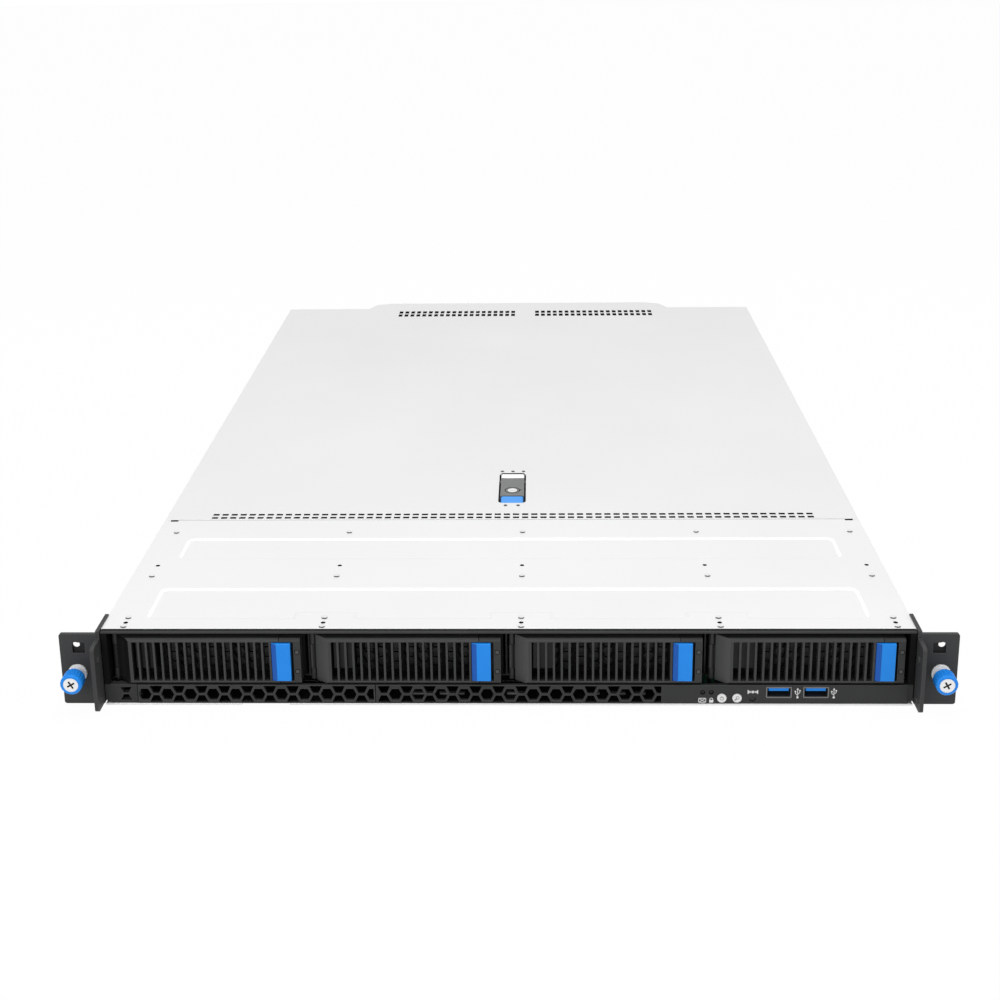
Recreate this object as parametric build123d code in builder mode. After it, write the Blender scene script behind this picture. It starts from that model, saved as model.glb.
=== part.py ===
from build123d import *
from math import cos, radians
import os

# A 1U rack server with four front drive bays. X runs across the width, Y runs from the face of
# the rack ears to the rear, Z runs up from the underside of the chassis. All sizes are in mm.

# Whole server
rack_span = 482.6
thumbscrew_spacing = 465.1
chassis_width = 438.5
chassis_depth = 650.0
chassis_height = 43.5
pan_sheet = 1.0
cover_sheet = 1.0
running_gap = 0.3
seam_gap = 0.5

# Base pan
frame_depth = 4.2
skirt_height = 10.5
front_skirt_start = 25.0
rail_stud_places = (80.0, 300.0, 560.0)
rail_stud_shoulder_radius = 2.4
rail_stud_head_radius = 3.6
rail_stud_shoulder = 1.8
rail_stud_head = 1.4
pan_notch_centre = -131.0
pan_notch_width = 26.0
pan_notch_depth = 3.0
pan_bead_width = 14.0
pan_bead_length = 380.0
pan_bead_depth = 0.5
pan_bead_places = (190.0, 275.0, 440.0)

# Rack ears
ear_base = 0.9
ear_height = 41.7
ear_sheet = 2.0
ear_corner = 1.4
ear_flange_reach = 11.5
ear_flange_base = 1.6
ear_flange_top = 39.9
ear_flange_corner = 2.5
ear_side_reach = 20.0
ear_side_top = 44.2
ear_rivet_radius = 1.8
ear_rivet_proud = 0.5
ear_rivet_heights = (5.5, 30.0)
ear_rivet_place = -4.5
sight_width = 6.9
sight_height = 6.2
sight_offset = 11.7
sight_level = 34.4
sight_depth = 1.3
sight_hole_radius = 1.9
sight_hole_shift = 1.5

# Thumbscrews
thumbscrew_level = 19.4
collar_radius = 5.2
collar_thickness = 1.2
collar_sleeve_radius = 3.6
collar_sleeve_proud = 1.0
knob_radius = 5.85
knob_length = 8.3
knob_standoff = 5.1
knob_flutes = 20
knob_flute_radius = 0.55
knob_rim = 0.8
screw_radius = 2.5
screw_shank_radius = 2.1
screw_reach = 9.0
screw_neck_radius = 3.2
screw_head_radius = 4.1
screw_head_depth = 1.6
screw_head_sunk = 0.2
screw_cross_length = 4.6
screw_cross_width = 1.0
screw_cross_depth = 1.1
screw_cross_turn = 30.0
fit_gap = 0.05
clip_radius = 2.9
clip_thickness = 0.8

# Drive bays, one cell for each drive
bay_count = 4
bay_pitch = 108.0
divider_sheet = 1.0
cage_front = 12.0
cage_rear = 164.0
shelf_top = 12.0
shelf_sheet = 0.8

# Tray bezel, measured across the cell from its centre
bezel_base = 12.5
bezel_height = 27.1
bezel_chamfer = 1.3
lever_left = -49.2
lever_face_left = -42.0
lever_bevel_depth = 5.5
lever_right = 39.3
lever_depth = 10.0
lever_rib_depth = 4.0
lever_band = 2.0
slot_count = 18
slot_pitch = 4.2
slot_width = 3.15
slot_start = -40.3
hinge_place = -51.0
hinge_depth = 7.5
hinge_pin_radius = 0.8
hinge_pin_inset = 1.0
hinge_barrel_radius = 1.5
hinge_barrel_base = 19.0
hinge_barrel_height = 14.0
bar_gap = 0.4
bar_right = 51.1
bar_window_right = 47.4
bar_window_depth = 6.0
bar_pipe_radius = 1.0
bar_pipe_place = 49.3
bar_pipe_levels = (20.2, 31.7)

# Release tab
tab_left = 35.6
tab_width = 10.2
tab_height = 22.2
tab_proud = 1.2
tab_thickness = 4.0
tab_slant_width = 2.7
tab_slant_depth = 1.0
tab_round = 0.5
tab_neck_width = 1.4
tab_neck_height = 4.0
tab_head_height = 8.0
tab_head_thickness = 2.0
tab_seat_wall = 3.9

# Tray frame behind the bezel
tray_wall_front = 10.5
tray_wall = 1.5
tray_rail_thickness = 1.5
tray_rail_top = 34.0
tray_flange = 4.0
tray_flange_sheet = 0.8
tray_slot_length = 49.0
tray_slot_height = 8.3
tray_vent_radius = 3.3
tray_vent_pitch = 7.4
tray_vent_columns = 10
tray_vent_rows = 4
tray_pad_gap = 0.9
tray_pad_width = 11.4
tray_pad_height = 18.0
tray_pad_depth = 5.0

# Drives, the standard 3.5 inch size
drive_width = 101.6
drive_depth = 147.0
drive_height = 26.1
drive_corner = 3.0
drive_lid = 1.2
drive_lid_inset = 2.0
drive_front_gap = 1.0
drive_boss_radius = 17.0
drive_boss_place = 58.8

# Drive backplane
backplane_gap = 2.0
backplane_board = 1.8
backplane_top = 40.5
backplane_air_height = 16.0
backplane_air_width = 60.0
backplane_air_shift = 13.5
backplane_air_margin = 2.0
backplane_foot_place = 205.0
connector_inset = 12.0
connector_width = 42.0
connector_height = 6.5
connector_gap = 0.4

# Lower strip of the front
strip_top = 12.1
strip_thickness = 1.8
filler_return = 7.0
filler_left = -201.2
filler_right = -70.7
strip_seam = 0.5
hex_width = 7.3
hex_side = 3.9
hex_height = 6.7
hex_web = 1.1
hex_border = 0.6
hex_level = 6.4
hex_column = 6.225
hex_first = 4.25
hex_half_narrow = 3.2
hex_half_wide = 7.2
mesh_right = 84.3
frame_half_width = 218.6
frame_opening = 215.6
frame_face = 0.4
frame_step_width = 4.2
frame_step_height = 1.5
frame_web = 1.0
end_hole_left = -210.5
end_hole_width = 6.4
end_hole_height = 3.6
end_hole_waist = 2.6
end_hole_web = 0.8

# Controls and ports on the front
light_places = (105.9, 110.5)
light_level = 7.8
light_hole_radius = 1.25
light_pipe_radius = 1.1
power_place = 116.2
locate_place = 124.4
button_level = 4.4
button_lip = 0.6
button_stem_radius = 1.0
switch_depth = 3.4
switch_size = 5.0
button_radius = 2.5
button_travel = 0.8
button_proud = 0.3
button_flange = 0.8
reset_place = 132.8
reset_level = 3.9
reset_radius = 1.6
reset_sunk = 0.8
usb_places = (146.8, 166.7)
usb_level = 7.7
usb_width = 14.1
usb_height = 6.8
usb_wall = 0.8
usb_length = 15.0
usb_face = 0.1
tongue_height = 1.8
tongue_inset = 0.9
tongue_drop = 0.3
board_sheet = 1.6
front_board_left = 98.0
front_board_right = 182.0

# Front top cover
cover_seam = 148.5
recess_depth = 0.7
recess_slope = 1.8
recess_foot = 0.1
rear_recess_front = 91.6
rear_recess_depth = 29.4
front_recess_front = 15.5
front_recess_depth = 37.4
recess_half_width = 198.0
recess_corner = 5.0
recess_step_width = 31.0
recess_step_depth = 7.2
cover_columns = (-207.6, -99.5, 8.2, 115.4, 209.8)
cover_hole_rows = (11.3, 82.5)
cover_hole_radius = 1.3

# Rear top cover
slot_rows = (152.3, 157.2)
cover_slot_count = 66
cover_slot_pitch = 5.82
cover_slot_width = 4.0
cover_slot_depth = 2.8
vent_rows = (626.5, 637.0)
vent_columns = 20
vent_pitch = 5.62
vent_width = 3.6
vent_depth = 8.0
vent_starts = (-111.0, 18.5)
lip_half_width = 136.6
lip_reach = 19.0
lip_slope = 14.0
cover_notch_place = 213.0
cover_notch_width = 5.0
cover_notch_depth = 2.0

# Cover latch
latch_place = 0.9
pocket_front = 175.4
pocket_length = 51.8
pocket_width = 18.0
pocket_corner = 3.0
pocket_sheet = 0.8
pocket_floor = 35.0
pocket_flange = 4.0
latch_width = 15.6
latch_top = 43.0
latch_thickness = 4.0
latch_round = 1.6
latch_joint = 187.9
latch_rear = 220.5
latch_pivot = 216.8
latch_pivot_level = 40.6
latch_pin_radius = 1.3
tip_width = 14.6
tip_front_gap = 0.5
tip_corner = 1.2
tip_bevel = 0.5
lock_place = 197.9
lock_radius = 3.1
lock_bar_length = 9.0
lock_bar_width = 3.0
lock_bar_thickness = 1.0
lock_slot_width = 1.0

# Fans
fan_count = 4
fan_pitch = 104.0
fan_size = 40.0
fan_depth = 28.0
fan_front = 234.0
fan_bore_radius = 18.6
fan_tip_radius = 18.0
fan_hub_radius = 10.0
fan_blades = 7
fan_blade_tilt = 38.0
fan_blade_thickness = 1.2
fan_hub_depth = 20.0
fan_arm_width = 2.4
fan_arm_turn = 45.0
fan_motor_depth = 4.0
fan_shaft_radius = 1.5
bracket_sheet = 1.2
bracket_half_width = 208.0
bracket_top = 41.8
bracket_foot = 14.0

# System board
board_left = -62.0
board_right = 214.0
board_front = 292.0
board_rear = 645.0
board_level = 6.5
standoff_radius = 2.8
standoff_inset = 8.0
socket_place = 40.0
socket_depth_place = 372.0
socket_size = 56.0
socket_height = 4.5
hub_place = -16.0
hub_depth_place = 495.0
hub_size = 39.0
heatsink_width = 92.0
heatsink_length = 92.0
heatsink_base = 4.0
heatsink_top = 38.0
heatsink_fins = 24
heatsink_fin = 0.6
memory_count = 4
memory_pitch = 9.4
memory_length = 133.4
memory_thickness = 1.3
memory_height = 30.0
memory_slot_length = 141.0
memory_slot_width = 6.4
memory_slot_height = 7.0
memory_offset = 58.0
shroud_wall = 1.5
shroud_top = 41.6
shroud_clearance = 4.0
shroud_front = 263.5
shroud_rear = 424.0

# Expansion card riser
riser_left = 104.0
riser_front = 505.0
riser_rear = 590.0
riser_top = 40.0
riser_slot_length = 70.0
card_slot_left = 108.0
card_slot_right = 206.0
card_slot_base = 23.0
card_slot_height = 14.0
riser_connector = 4.0
blank_sheet = 1.0
blank_tab = 12.0
blank_lap = 2.0

# Rear panel and its ports
panel_sheet = 1.0
panel_top = 42.2
panel_flange = 10.0
port_proud = 0.4
lan_tab_height = 1.2
shell_body_width = 30.0
shell_body_height = 12.5
lan_places = (-16.0, 2.0, 20.0)
lan_width = 16.0
lan_height = 13.6
lan_depth = 20.0
lan_hole_width = 11.8
lan_hole_height = 8.6
lan_hole_depth = 12.0
lan_hole_base = 1.5
rear_usb_places = (40.0, 57.0)
serial_place = 82.0
video_place = -42.0
shell_plug_width = 16.9
shell_plug_height = 8.3
shell_plug_depth = 6.0
shell_plug_corner = 2.0
shell_plug_wall = 0.5
rear_vent_level = 28.5
rear_vent_rows = 2
vent_hex_radius = 2.9
vent_hex_web = 1.3

# Power supplies
psu_count = 2
psu_width = 73.5
psu_height = 39.5
psu_length = 185.0
psu_pitch = 75.0
psu_wall_front = 470.0
psu_connector_depth = 6.0
inlet_width = 24.4
inlet_height = 16.4
inlet_depth = 17.0
inlet_place = 19.0
inlet_level = 24.0
inlet_flange_width = 30.0
inlet_flange_height = 22.0
inlet_flange = 1.2
pin_width = 2.0
pin_height = 4.0
pin_length = 15.0
pin_spacing = 14.0
pin_rise = 4.0
handle_place = 40.0
handle_width = 5.0
handle_reach = 20.0
handle_base = 5.0
handle_top = 36.0
handle_grip = 5.0
psu_vent_place = 59.0
psu_vent_columns = 4
psu_vent_rows = 5
psu_vent_depth = 3.0
psu_latch_level = 4.4
psu_latch_height = 3.6
psu_latch_left = 8.0
psu_latch_width = 14.0
psu_latch_reach = 14.0
psu_latch_travel = 2.5
psu_latch_sunk = 6.0
psu_latch_proud = 2.0

# Sizes that follow from those above
half_width = chassis_width / 2
cover_under = chassis_height - cover_sheet
joggle = cover_sheet + running_gap
wall_top = cover_under - running_gap
skirt_base = chassis_height - skirt_height
joggle_level = skirt_base - running_gap
bezel_top = bezel_base + bezel_height
bar_left = lever_right + bar_gap
window_base = bezel_base + lever_band
window_height = bezel_height - 2 * lever_band
window_level = window_base + window_height / 2
slots_width = slot_count * slot_pitch
tray_wall_rear = tray_wall_front + tray_wall
tray_base = shelf_top + running_gap
drive_base = tray_base + tray_flange_sheet
drive_front = tray_wall_rear + drive_front_gap
drive_rear = drive_front + drive_depth
tray_half_width = drive_width / 2 + tray_rail_thickness
backplane_front = cage_rear + backplane_gap
board_top = board_level + board_sheet
strip_height = strip_top - pan_sheet
strip_middle = pan_sheet + strip_height / 2
vent_hex_row = 2 * vent_hex_radius * cos(radians(30)) + vent_hex_web
vent_hex_column = vent_hex_row * cos(radians(30))
front_board_place = usb_face + usb_length
switch_front = front_board_place - switch_depth
front_board_top = shelf_top - shelf_sheet - running_gap
fan_level = pan_sheet + seam_gap + fan_size / 2
psu_base = pan_sheet + running_gap
psu_top = psu_base + psu_height
psu_front = chassis_depth - psu_length
cage_top = cover_under - recess_depth - running_gap
riser_base = board_top + memory_slot_height + seam_gap
panel_half_width = half_width - pan_sheet - joggle - running_gap
psu_left = -panel_half_width
psu_opening_right = psu_left + psu_count * psu_pitch

bay_centres = []
for bay in range(bay_count):
    bay_centres.append((bay - (bay_count - 1) / 2) * bay_pitch)

fan_centres = []
for fan in range(fan_count):
    fan_centres.append((fan - (fan_count - 1) / 2) * fan_pitch)

os.makedirs("parts", exist_ok=True)


def facing(y):
    """Sketch plane across the server at depth y; a negative extrusion runs to the rear."""
    return Plane.XZ.offset(-y)


def save(piece, name):
    piece.part.label = name
    export_step(piece.part, "parts/" + name + ".step")


def base_pan():
    """Folded sheet tray that carries everything, with walls joggled in under the cover skirts."""
    inner = half_width - pan_sheet
    with BuildPart() as pan:
        with BuildSketch(Plane.XY):
            with Locations((0, chassis_depth / 2)):
                Rectangle(chassis_width, chassis_depth)
            with Locations((pan_notch_centre, 0)):
                Rectangle(pan_notch_width, 2 * pan_notch_depth, mode=Mode.SUBTRACT)
            for side in (-1, 1):
                with Locations((side * half_width, 0)):
                    Rectangle(2 * (half_width - frame_half_width), 2 * frame_depth, mode=Mode.SUBTRACT)
        extrude(amount=pan_sheet)
        for side in (-1, 1):
            with BuildSketch(facing(frame_depth)):
                with BuildLine():
                    Polyline(
                        (side * half_width, 0),
                        (side * half_width, joggle_level - joggle),
                        (side * (half_width - joggle), joggle_level),
                        (side * (half_width - joggle), wall_top),
                        (side * (inner - joggle), wall_top),
                        (side * (inner - joggle), joggle_level),
                        (side * inner, joggle_level - joggle),
                        (side * inner, 0),
                        close=True,
                    )
                make_face()
            extrude(amount=frame_depth - chassis_depth)
        for side in (-1, 1):
            for place in rail_stud_places:
                wall = Plane.YZ.offset(side * half_width)
                with BuildSketch(wall):
                    with Locations((place, chassis_height / 2)):
                        Circle(rail_stud_shoulder_radius)
                extrude(amount=side * rail_stud_shoulder)
                with BuildSketch(wall.offset(side * rail_stud_shoulder)):
                    with Locations((place, chassis_height / 2)):
                        Circle(rail_stud_head_radius)
                extrude(amount=side * rail_stud_head)
        for place in pan_bead_places:
            with BuildSketch(Plane.XY.offset(pan_sheet)):
                with Locations((0, place)):
                    SlotOverall(pan_bead_length, pan_bead_width)
            extrude(amount=pan_bead_depth)
            with BuildSketch(Plane.XY):
                with Locations((0, place)):
                    SlotOverall(pan_bead_length - pan_sheet, pan_bead_width - pan_sheet)
            extrude(amount=pan_bead_depth, mode=Mode.SUBTRACT)
        with BuildSketch(Plane.XY.offset(pan_sheet)):
            with Locations(((board_left + board_right) / 2, (board_front + board_rear) / 2)):
                across = (board_right - board_left) / 2 - standoff_inset
                along = (board_rear - board_front) / 2 - standoff_inset
                with GridLocations(across, along, 3, 3):
                    RegularPolygon(standoff_radius, 6)
        extrude(amount=board_level - pan_sheet)
    save(pan, "base_pan")


def rack_ear(side, name):
    """Bent bracket: face plate, side plate along the chassis and a guard flange to the front."""
    face_width = rack_span / 2 - half_width
    sight_place = side * (half_width + sight_offset)
    with BuildPart() as ear:
        with BuildSketch(facing(0)) as face:
            with Locations((side * (half_width + face_width / 2), ear_base + ear_height / 2)):
                Rectangle(face_width, ear_height)
            outer = face.vertices().sort_by(Axis.X)
            fillet(outer[-2:] if side > 0 else outer[:2], ear_corner)
        extrude(amount=-ear_sheet)
        with BuildSketch(Plane.YZ.offset(side * half_width)) as guard:
            with Locations((-ear_flange_reach / 2, (ear_flange_base + ear_flange_top) / 2)):
                Rectangle(ear_flange_reach, ear_flange_top - ear_flange_base)
            fillet(guard.vertices().sort_by(Axis.X)[:2], ear_flange_corner)
            with Locations((ear_side_reach / 2, (ear_base + ear_side_top) / 2)):
                Rectangle(ear_side_reach, ear_side_top - ear_base)
        extrude(amount=side * ear_sheet)
        with BuildSketch(facing(0)):
            with Locations((sight_place, sight_level)):
                Rectangle(sight_width, sight_height)
        extrude(amount=-sight_depth, mode=Mode.SUBTRACT)
        with BuildSketch(facing(0)):
            with Locations((sight_place + side * sight_hole_shift, sight_level + sight_hole_shift)):
                Circle(sight_hole_radius)
            with Locations((side * thumbscrew_spacing / 2, thumbscrew_level)):
                Circle(collar_sleeve_radius)
        extrude(amount=-ear_sheet, mode=Mode.SUBTRACT)
        with BuildSketch(Plane.YZ.offset(side * half_width)):
            for level in ear_rivet_heights:
                with Locations((ear_rivet_place, level)):
                    Circle(ear_rivet_radius)
        extrude(amount=-side * ear_rivet_proud)
    save(ear, name)


def thumbscrew_collars():
    """Turned ferrules pressed into the ears; each holds its screw captive."""
    with BuildPart() as collars:
        for side in (-1, 1):
            place = (side * thumbscrew_spacing / 2, thumbscrew_level)
            with BuildSketch(facing(-collar_thickness)):
                with Locations(place):
                    Circle(collar_radius)
            extrude(amount=-collar_thickness)
            with BuildSketch(facing(0)):
                with Locations(place):
                    Circle(collar_sleeve_radius)
            extrude(amount=-(ear_sheet + collar_sleeve_proud))
            with BuildSketch(facing(-collar_thickness)):
                with Locations(place):
                    Circle(screw_shank_radius + fit_gap)
            extrude(amount=-(collar_thickness + ear_sheet + collar_sleeve_proud), mode=Mode.SUBTRACT)
    save(collars, "thumbscrew_collars")


def thumbscrew_knob(side, name):
    """Moulded knob with flutes round its rim and a seat for the screw head in its face."""
    place = (side * thumbscrew_spacing / 2, thumbscrew_level)
    knob_front = -(knob_standoff + knob_length)
    with BuildPart() as knob:
        with BuildSketch(facing(knob_front)):
            with Locations(place):
                Circle(knob_radius)
        extrude(amount=-knob_length)
        chamfer(knob.edges().filter_by(GeomType.CIRCLE), knob_rim)
        with BuildSketch(facing(knob_front)):
            with Locations(place):
                with PolarLocations(knob_radius + knob_flute_radius / 3, knob_flutes):
                    RegularPolygon(knob_flute_radius, 4)
        extrude(amount=-knob_length, mode=Mode.SUBTRACT)
        with BuildSketch(facing(knob_front)):
            with Locations(place):
                Circle(screw_head_radius)
        extrude(amount=-screw_head_depth, mode=Mode.SUBTRACT)
        with BuildSketch(facing(knob_front)):
            with Locations(place):
                Circle(screw_shank_radius)
        extrude(amount=-knob_length, mode=Mode.SUBTRACT)
    save(knob, name)


def thumbscrew_screw(side, name):
    """Captive steel screw: cross head in the knob, neck, thin shank in the ear, clip, thread."""
    place = (side * thumbscrew_spacing / 2, thumbscrew_level)
    knob_front = -(knob_standoff + knob_length)
    head_face = knob_front + screw_head_sunk
    clip_front = ear_sheet + collar_sleeve_proud + running_gap
    with BuildPart() as screw:
        with BuildSketch(facing(head_face)):
            with Locations(place):
                Circle(screw_head_radius)
        extrude(amount=-(screw_head_depth - screw_head_sunk))
        with BuildSketch(facing(knob_front + screw_head_depth)):
            with Locations(place):
                Circle(screw_shank_radius)
        extrude(amount=knob_front + screw_head_depth - clip_front)
        with BuildSketch(facing(-knob_standoff)):
            with Locations(place):
                Circle(screw_neck_radius)
        extrude(amount=-(knob_standoff - collar_thickness - running_gap))
        with BuildSketch(facing(clip_front)):
            with Locations(place):
                Circle(clip_radius)
        extrude(amount=-clip_thickness)
        with BuildSketch(facing(clip_front + clip_thickness)):
            with Locations(place):
                Circle(screw_radius)
        extrude(amount=clip_front + clip_thickness - ear_sheet - screw_reach)
        with BuildSketch(facing(head_face)):
            with Locations(place):
                Rectangle(screw_cross_length, screw_cross_width, rotation=screw_cross_turn)
                Rectangle(screw_cross_width, screw_cross_length, rotation=screw_cross_turn)
        extrude(amount=-screw_cross_depth, mode=Mode.SUBTRACT)
    save(screw, name)


def drive_cage():
    """Sheet shelf under the drives with upright dividers between the four cells."""
    inner = half_width - pan_sheet
    with BuildPart() as cage:
        with BuildSketch(Plane.XY.offset(shelf_top - shelf_sheet)):
            with Locations((0, (cage_front + cage_rear) / 2)):
                Rectangle(2 * inner, cage_rear - cage_front)
        extrude(amount=shelf_sheet)
        with BuildSketch(Plane.XY.offset(shelf_top)):
            for wall in range(bay_count + 1):
                with Locations(((wall - bay_count / 2) * bay_pitch, (cage_front + cage_rear) / 2)):
                    Rectangle(divider_sheet, cage_rear - cage_front)
        extrude(amount=cage_top - shelf_top)
        for wall in range(bay_count + 1):
            with BuildSketch(Plane.YZ.offset((wall - bay_count / 2) * bay_pitch - divider_sheet)):
                with Locations(((cage_front + cage_rear) / 2, (shelf_top + cage_top) / 2)):
                    with GridLocations((cage_rear - cage_front) / 3, 0, 3, 1):
                        SlotOverall((cage_rear - cage_front) / 4, (cage_top - shelf_top) / 3)
            extrude(amount=2 * divider_sheet, mode=Mode.SUBTRACT)
    save(cage, "drive_cage")


def tray_frame(centre, name):
    """Drive carrier: fixed bar beside the lever, vented wall, side rails and the lever's pin."""
    with BuildPart() as frame:
        with BuildSketch(Plane.XY.offset(bezel_base)):
            with Locations((centre + (bar_left + bar_right) / 2, tray_wall_front / 2)):
                Rectangle(bar_right - bar_left, tray_wall_front)
        extrude(amount=bezel_height)
        chamfer(frame.faces().sort_by(Axis.Y)[0].edges().filter_by(Axis.X), bezel_chamfer)
        with BuildSketch(facing(0)):
            with Locations((centre + (bar_left + bar_window_right) / 2, window_level)):
                Rectangle(bar_window_right - bar_left, window_height)
        extrude(amount=-bar_window_depth, mode=Mode.SUBTRACT)
        with BuildSketch(facing(0)):
            for level in bar_pipe_levels:
                with Locations((centre + bar_pipe_place, level)):
                    Circle(bar_pipe_radius)
        extrude(amount=-tray_wall_rear, mode=Mode.SUBTRACT)
        with BuildSketch(facing(tray_wall_front)) as wall:
            with Locations((centre, (tray_base + bezel_top) / 2)):
                Rectangle(2 * tray_half_width, bezel_top - tray_base)
            with Locations((centre + slot_start + slots_width / 2, window_level)):
                for column in range(tray_vent_columns):
                    across = (column - (tray_vent_columns - 1) / 2) * tray_vent_pitch
                    for row in range(tray_vent_rows - column % 2):
                        up = (row - (tray_vent_rows - column % 2 - 1) / 2) * window_height / tray_vent_rows
                        with Locations((across, up)):
                            RegularPolygon(tray_vent_radius, 6, major_radius=True, mode=Mode.SUBTRACT)
        extrude(amount=-tray_wall)
        pad_left = centre + slot_start + tray_pad_gap
        with BuildSketch(facing(tray_pad_depth)):
            pad_level = window_base + window_height - tray_pad_height / 2
            with Locations((pad_left + tray_pad_width / 2, pad_level)):
                Rectangle(tray_pad_width, tray_pad_height)
        extrude(amount=tray_pad_depth - tray_wall_rear)
        for side in (-1, 1):
            with BuildSketch(facing(tray_wall_rear)):
                rail = centre + side * (tray_half_width - tray_rail_thickness / 2)
                with Locations((rail, (tray_base + tray_rail_top) / 2)):
                    Rectangle(tray_rail_thickness, tray_rail_top - tray_base)
                flange = centre + side * (tray_half_width - tray_flange / 2)
                with Locations((flange, tray_base + tray_flange_sheet / 2)):
                    Rectangle(tray_flange, tray_flange_sheet)
            extrude(amount=tray_wall_rear - drive_rear)
            with BuildSketch(Plane.YZ.offset(centre + side * drive_width / 2)):
                with Locations(((drive_front + drive_rear) / 2, (drive_base + tray_rail_top) / 2)):
                    with GridLocations(drive_depth / 2, 0, 2, 1):
                        SlotOverall(tray_slot_length, tray_slot_height)
            extrude(amount=side * tray_rail_thickness, mode=Mode.SUBTRACT)
        for base, height in hinge_ears():
            with BuildSketch(Plane.XY.offset(base)):
                with Locations((centre + hinge_place, hinge_depth)):
                    Circle(hinge_barrel_radius)
                with Locations((centre + hinge_place, (hinge_depth + tray_wall_front) / 2)):
                    Rectangle(2 * hinge_barrel_radius, tray_wall_front - hinge_depth)
            extrude(amount=height)
        with BuildSketch(Plane.XY.offset(tray_base + hinge_pin_inset)):
            with Locations((centre + hinge_place, hinge_depth)):
                Circle(hinge_pin_radius)
        extrude(amount=bezel_top - tray_base - 2 * hinge_pin_inset)
    save(frame, name)


def hinge_ears():
    """Base and height of the two ears that hold the lever's pin, below and above its barrel."""
    low_top = hinge_barrel_base - running_gap
    high_base = hinge_barrel_base + hinge_barrel_height + running_gap
    return ((bezel_base, low_top - bezel_base), (high_base, bezel_top - high_base))


def tray_lever(centre, name):
    """Slotted bezel that swings out on a pin at its left end to draw the tray."""
    with BuildPart() as lever:
        with BuildSketch(Plane.XY.offset(bezel_base)):
            with BuildLine():
                Polyline(
                    (centre + lever_left, lever_bevel_depth),
                    (centre + lever_face_left, 0),
                    (centre + lever_right, 0),
                    (centre + lever_right, lever_depth),
                    (centre + lever_left, lever_depth),
                    close=True,
                )
            make_face()
        extrude(amount=bezel_height)
        front_face = lever.faces().filter_by(Plane.XZ).sort_by(Axis.Y)[0]
        chamfer(front_face.edges().filter_by(Axis.X), bezel_chamfer)
        slots_right = slot_start + slots_width - (slot_pitch - slot_width)
        with BuildSketch(facing(lever_rib_depth)):
            with Locations((centre + (slot_start + slots_right) / 2, window_level)):
                Rectangle(slots_right - slot_start, window_height)
        extrude(amount=lever_rib_depth - lever_depth, mode=Mode.SUBTRACT)
        with BuildSketch(facing(0)):
            with Locations((centre + (slot_start + slots_right) / 2, window_level)):
                with GridLocations(slot_pitch, 0, slot_count, 1):
                    Rectangle(slot_width, window_height)
        extrude(amount=-lever_depth, mode=Mode.SUBTRACT)
        seat_left = tab_left - running_gap
        seat_depth = tab_thickness - tab_proud + running_gap
        with BuildSketch(facing(0)):
            with Locations((centre + (seat_left + lever_right) / 2, window_level)):
                Rectangle(lever_right - seat_left, window_height)
        extrude(amount=-seat_depth, mode=Mode.SUBTRACT)
        neck_left = tab_left + running_gap
        with BuildSketch(facing(0)):
            with Locations((centre + (neck_left + lever_right) / 2, window_level)):
                Rectangle(lever_right - neck_left, tab_neck_height + 2 * running_gap)
        extrude(amount=-lever_depth, mode=Mode.SUBTRACT)
        with BuildSketch(facing(seat_depth + tab_seat_wall)):
            with Locations((centre + (neck_left + lever_right) / 2, window_level)):
                Rectangle(lever_right - neck_left, tab_head_height + 2 * running_gap)
        extrude(amount=seat_depth + tab_seat_wall - lever_depth, mode=Mode.SUBTRACT)
        with BuildSketch(Plane.XY.offset(hinge_barrel_base)):
            with Locations((centre + hinge_place, hinge_depth)):
                Circle(hinge_barrel_radius)
            with Locations((centre + (hinge_place + lever_left) / 2, hinge_depth)):
                Rectangle(lever_left - hinge_place, 2 * hinge_pin_radius)
        extrude(amount=hinge_barrel_height)
        with BuildSketch(Plane.XY.offset(hinge_barrel_base)):
            with Locations((centre + hinge_place, hinge_depth)):
                Circle(hinge_pin_radius + fit_gap)
        extrude(amount=hinge_barrel_height, mode=Mode.SUBTRACT)
    save(lever, name)


def release_tab(centre, name):
    """Sprung thumb tab on the lever's free end; its headed neck slides in a slot of the lever."""
    left = centre + tab_left
    right = left + tab_width
    back = tab_thickness - tab_proud
    neck_middle = left + 2 * running_gap + tab_neck_width / 2
    neck_reach = tab_seat_wall + 2 * running_gap
    with BuildPart() as tab:
        with BuildSketch(Plane.XY.offset(window_level - tab_height / 2)):
            with BuildLine():
                Polyline(
                    (left, back),
                    (left, tab_slant_depth - tab_proud),
                    (left + tab_slant_width, -tab_proud),
                    (right, -tab_proud),
                    (right, back),
                    close=True,
                )
            make_face()
        extrude(amount=tab_height)
        fillet(tab.faces().sort_by(Axis.Y)[0].edges().filter_by(Axis.X), tab_round)
        with BuildSketch(facing(back)):
            with Locations((neck_middle, window_level)):
                Rectangle(tab_neck_width, tab_neck_height)
        extrude(amount=-neck_reach)
        with BuildSketch(facing(back + neck_reach)):
            with Locations((neck_middle, window_level)):
                Rectangle(tab_neck_width, tab_head_height)
        extrude(amount=-tab_head_thickness)
    save(tab, name)


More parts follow.
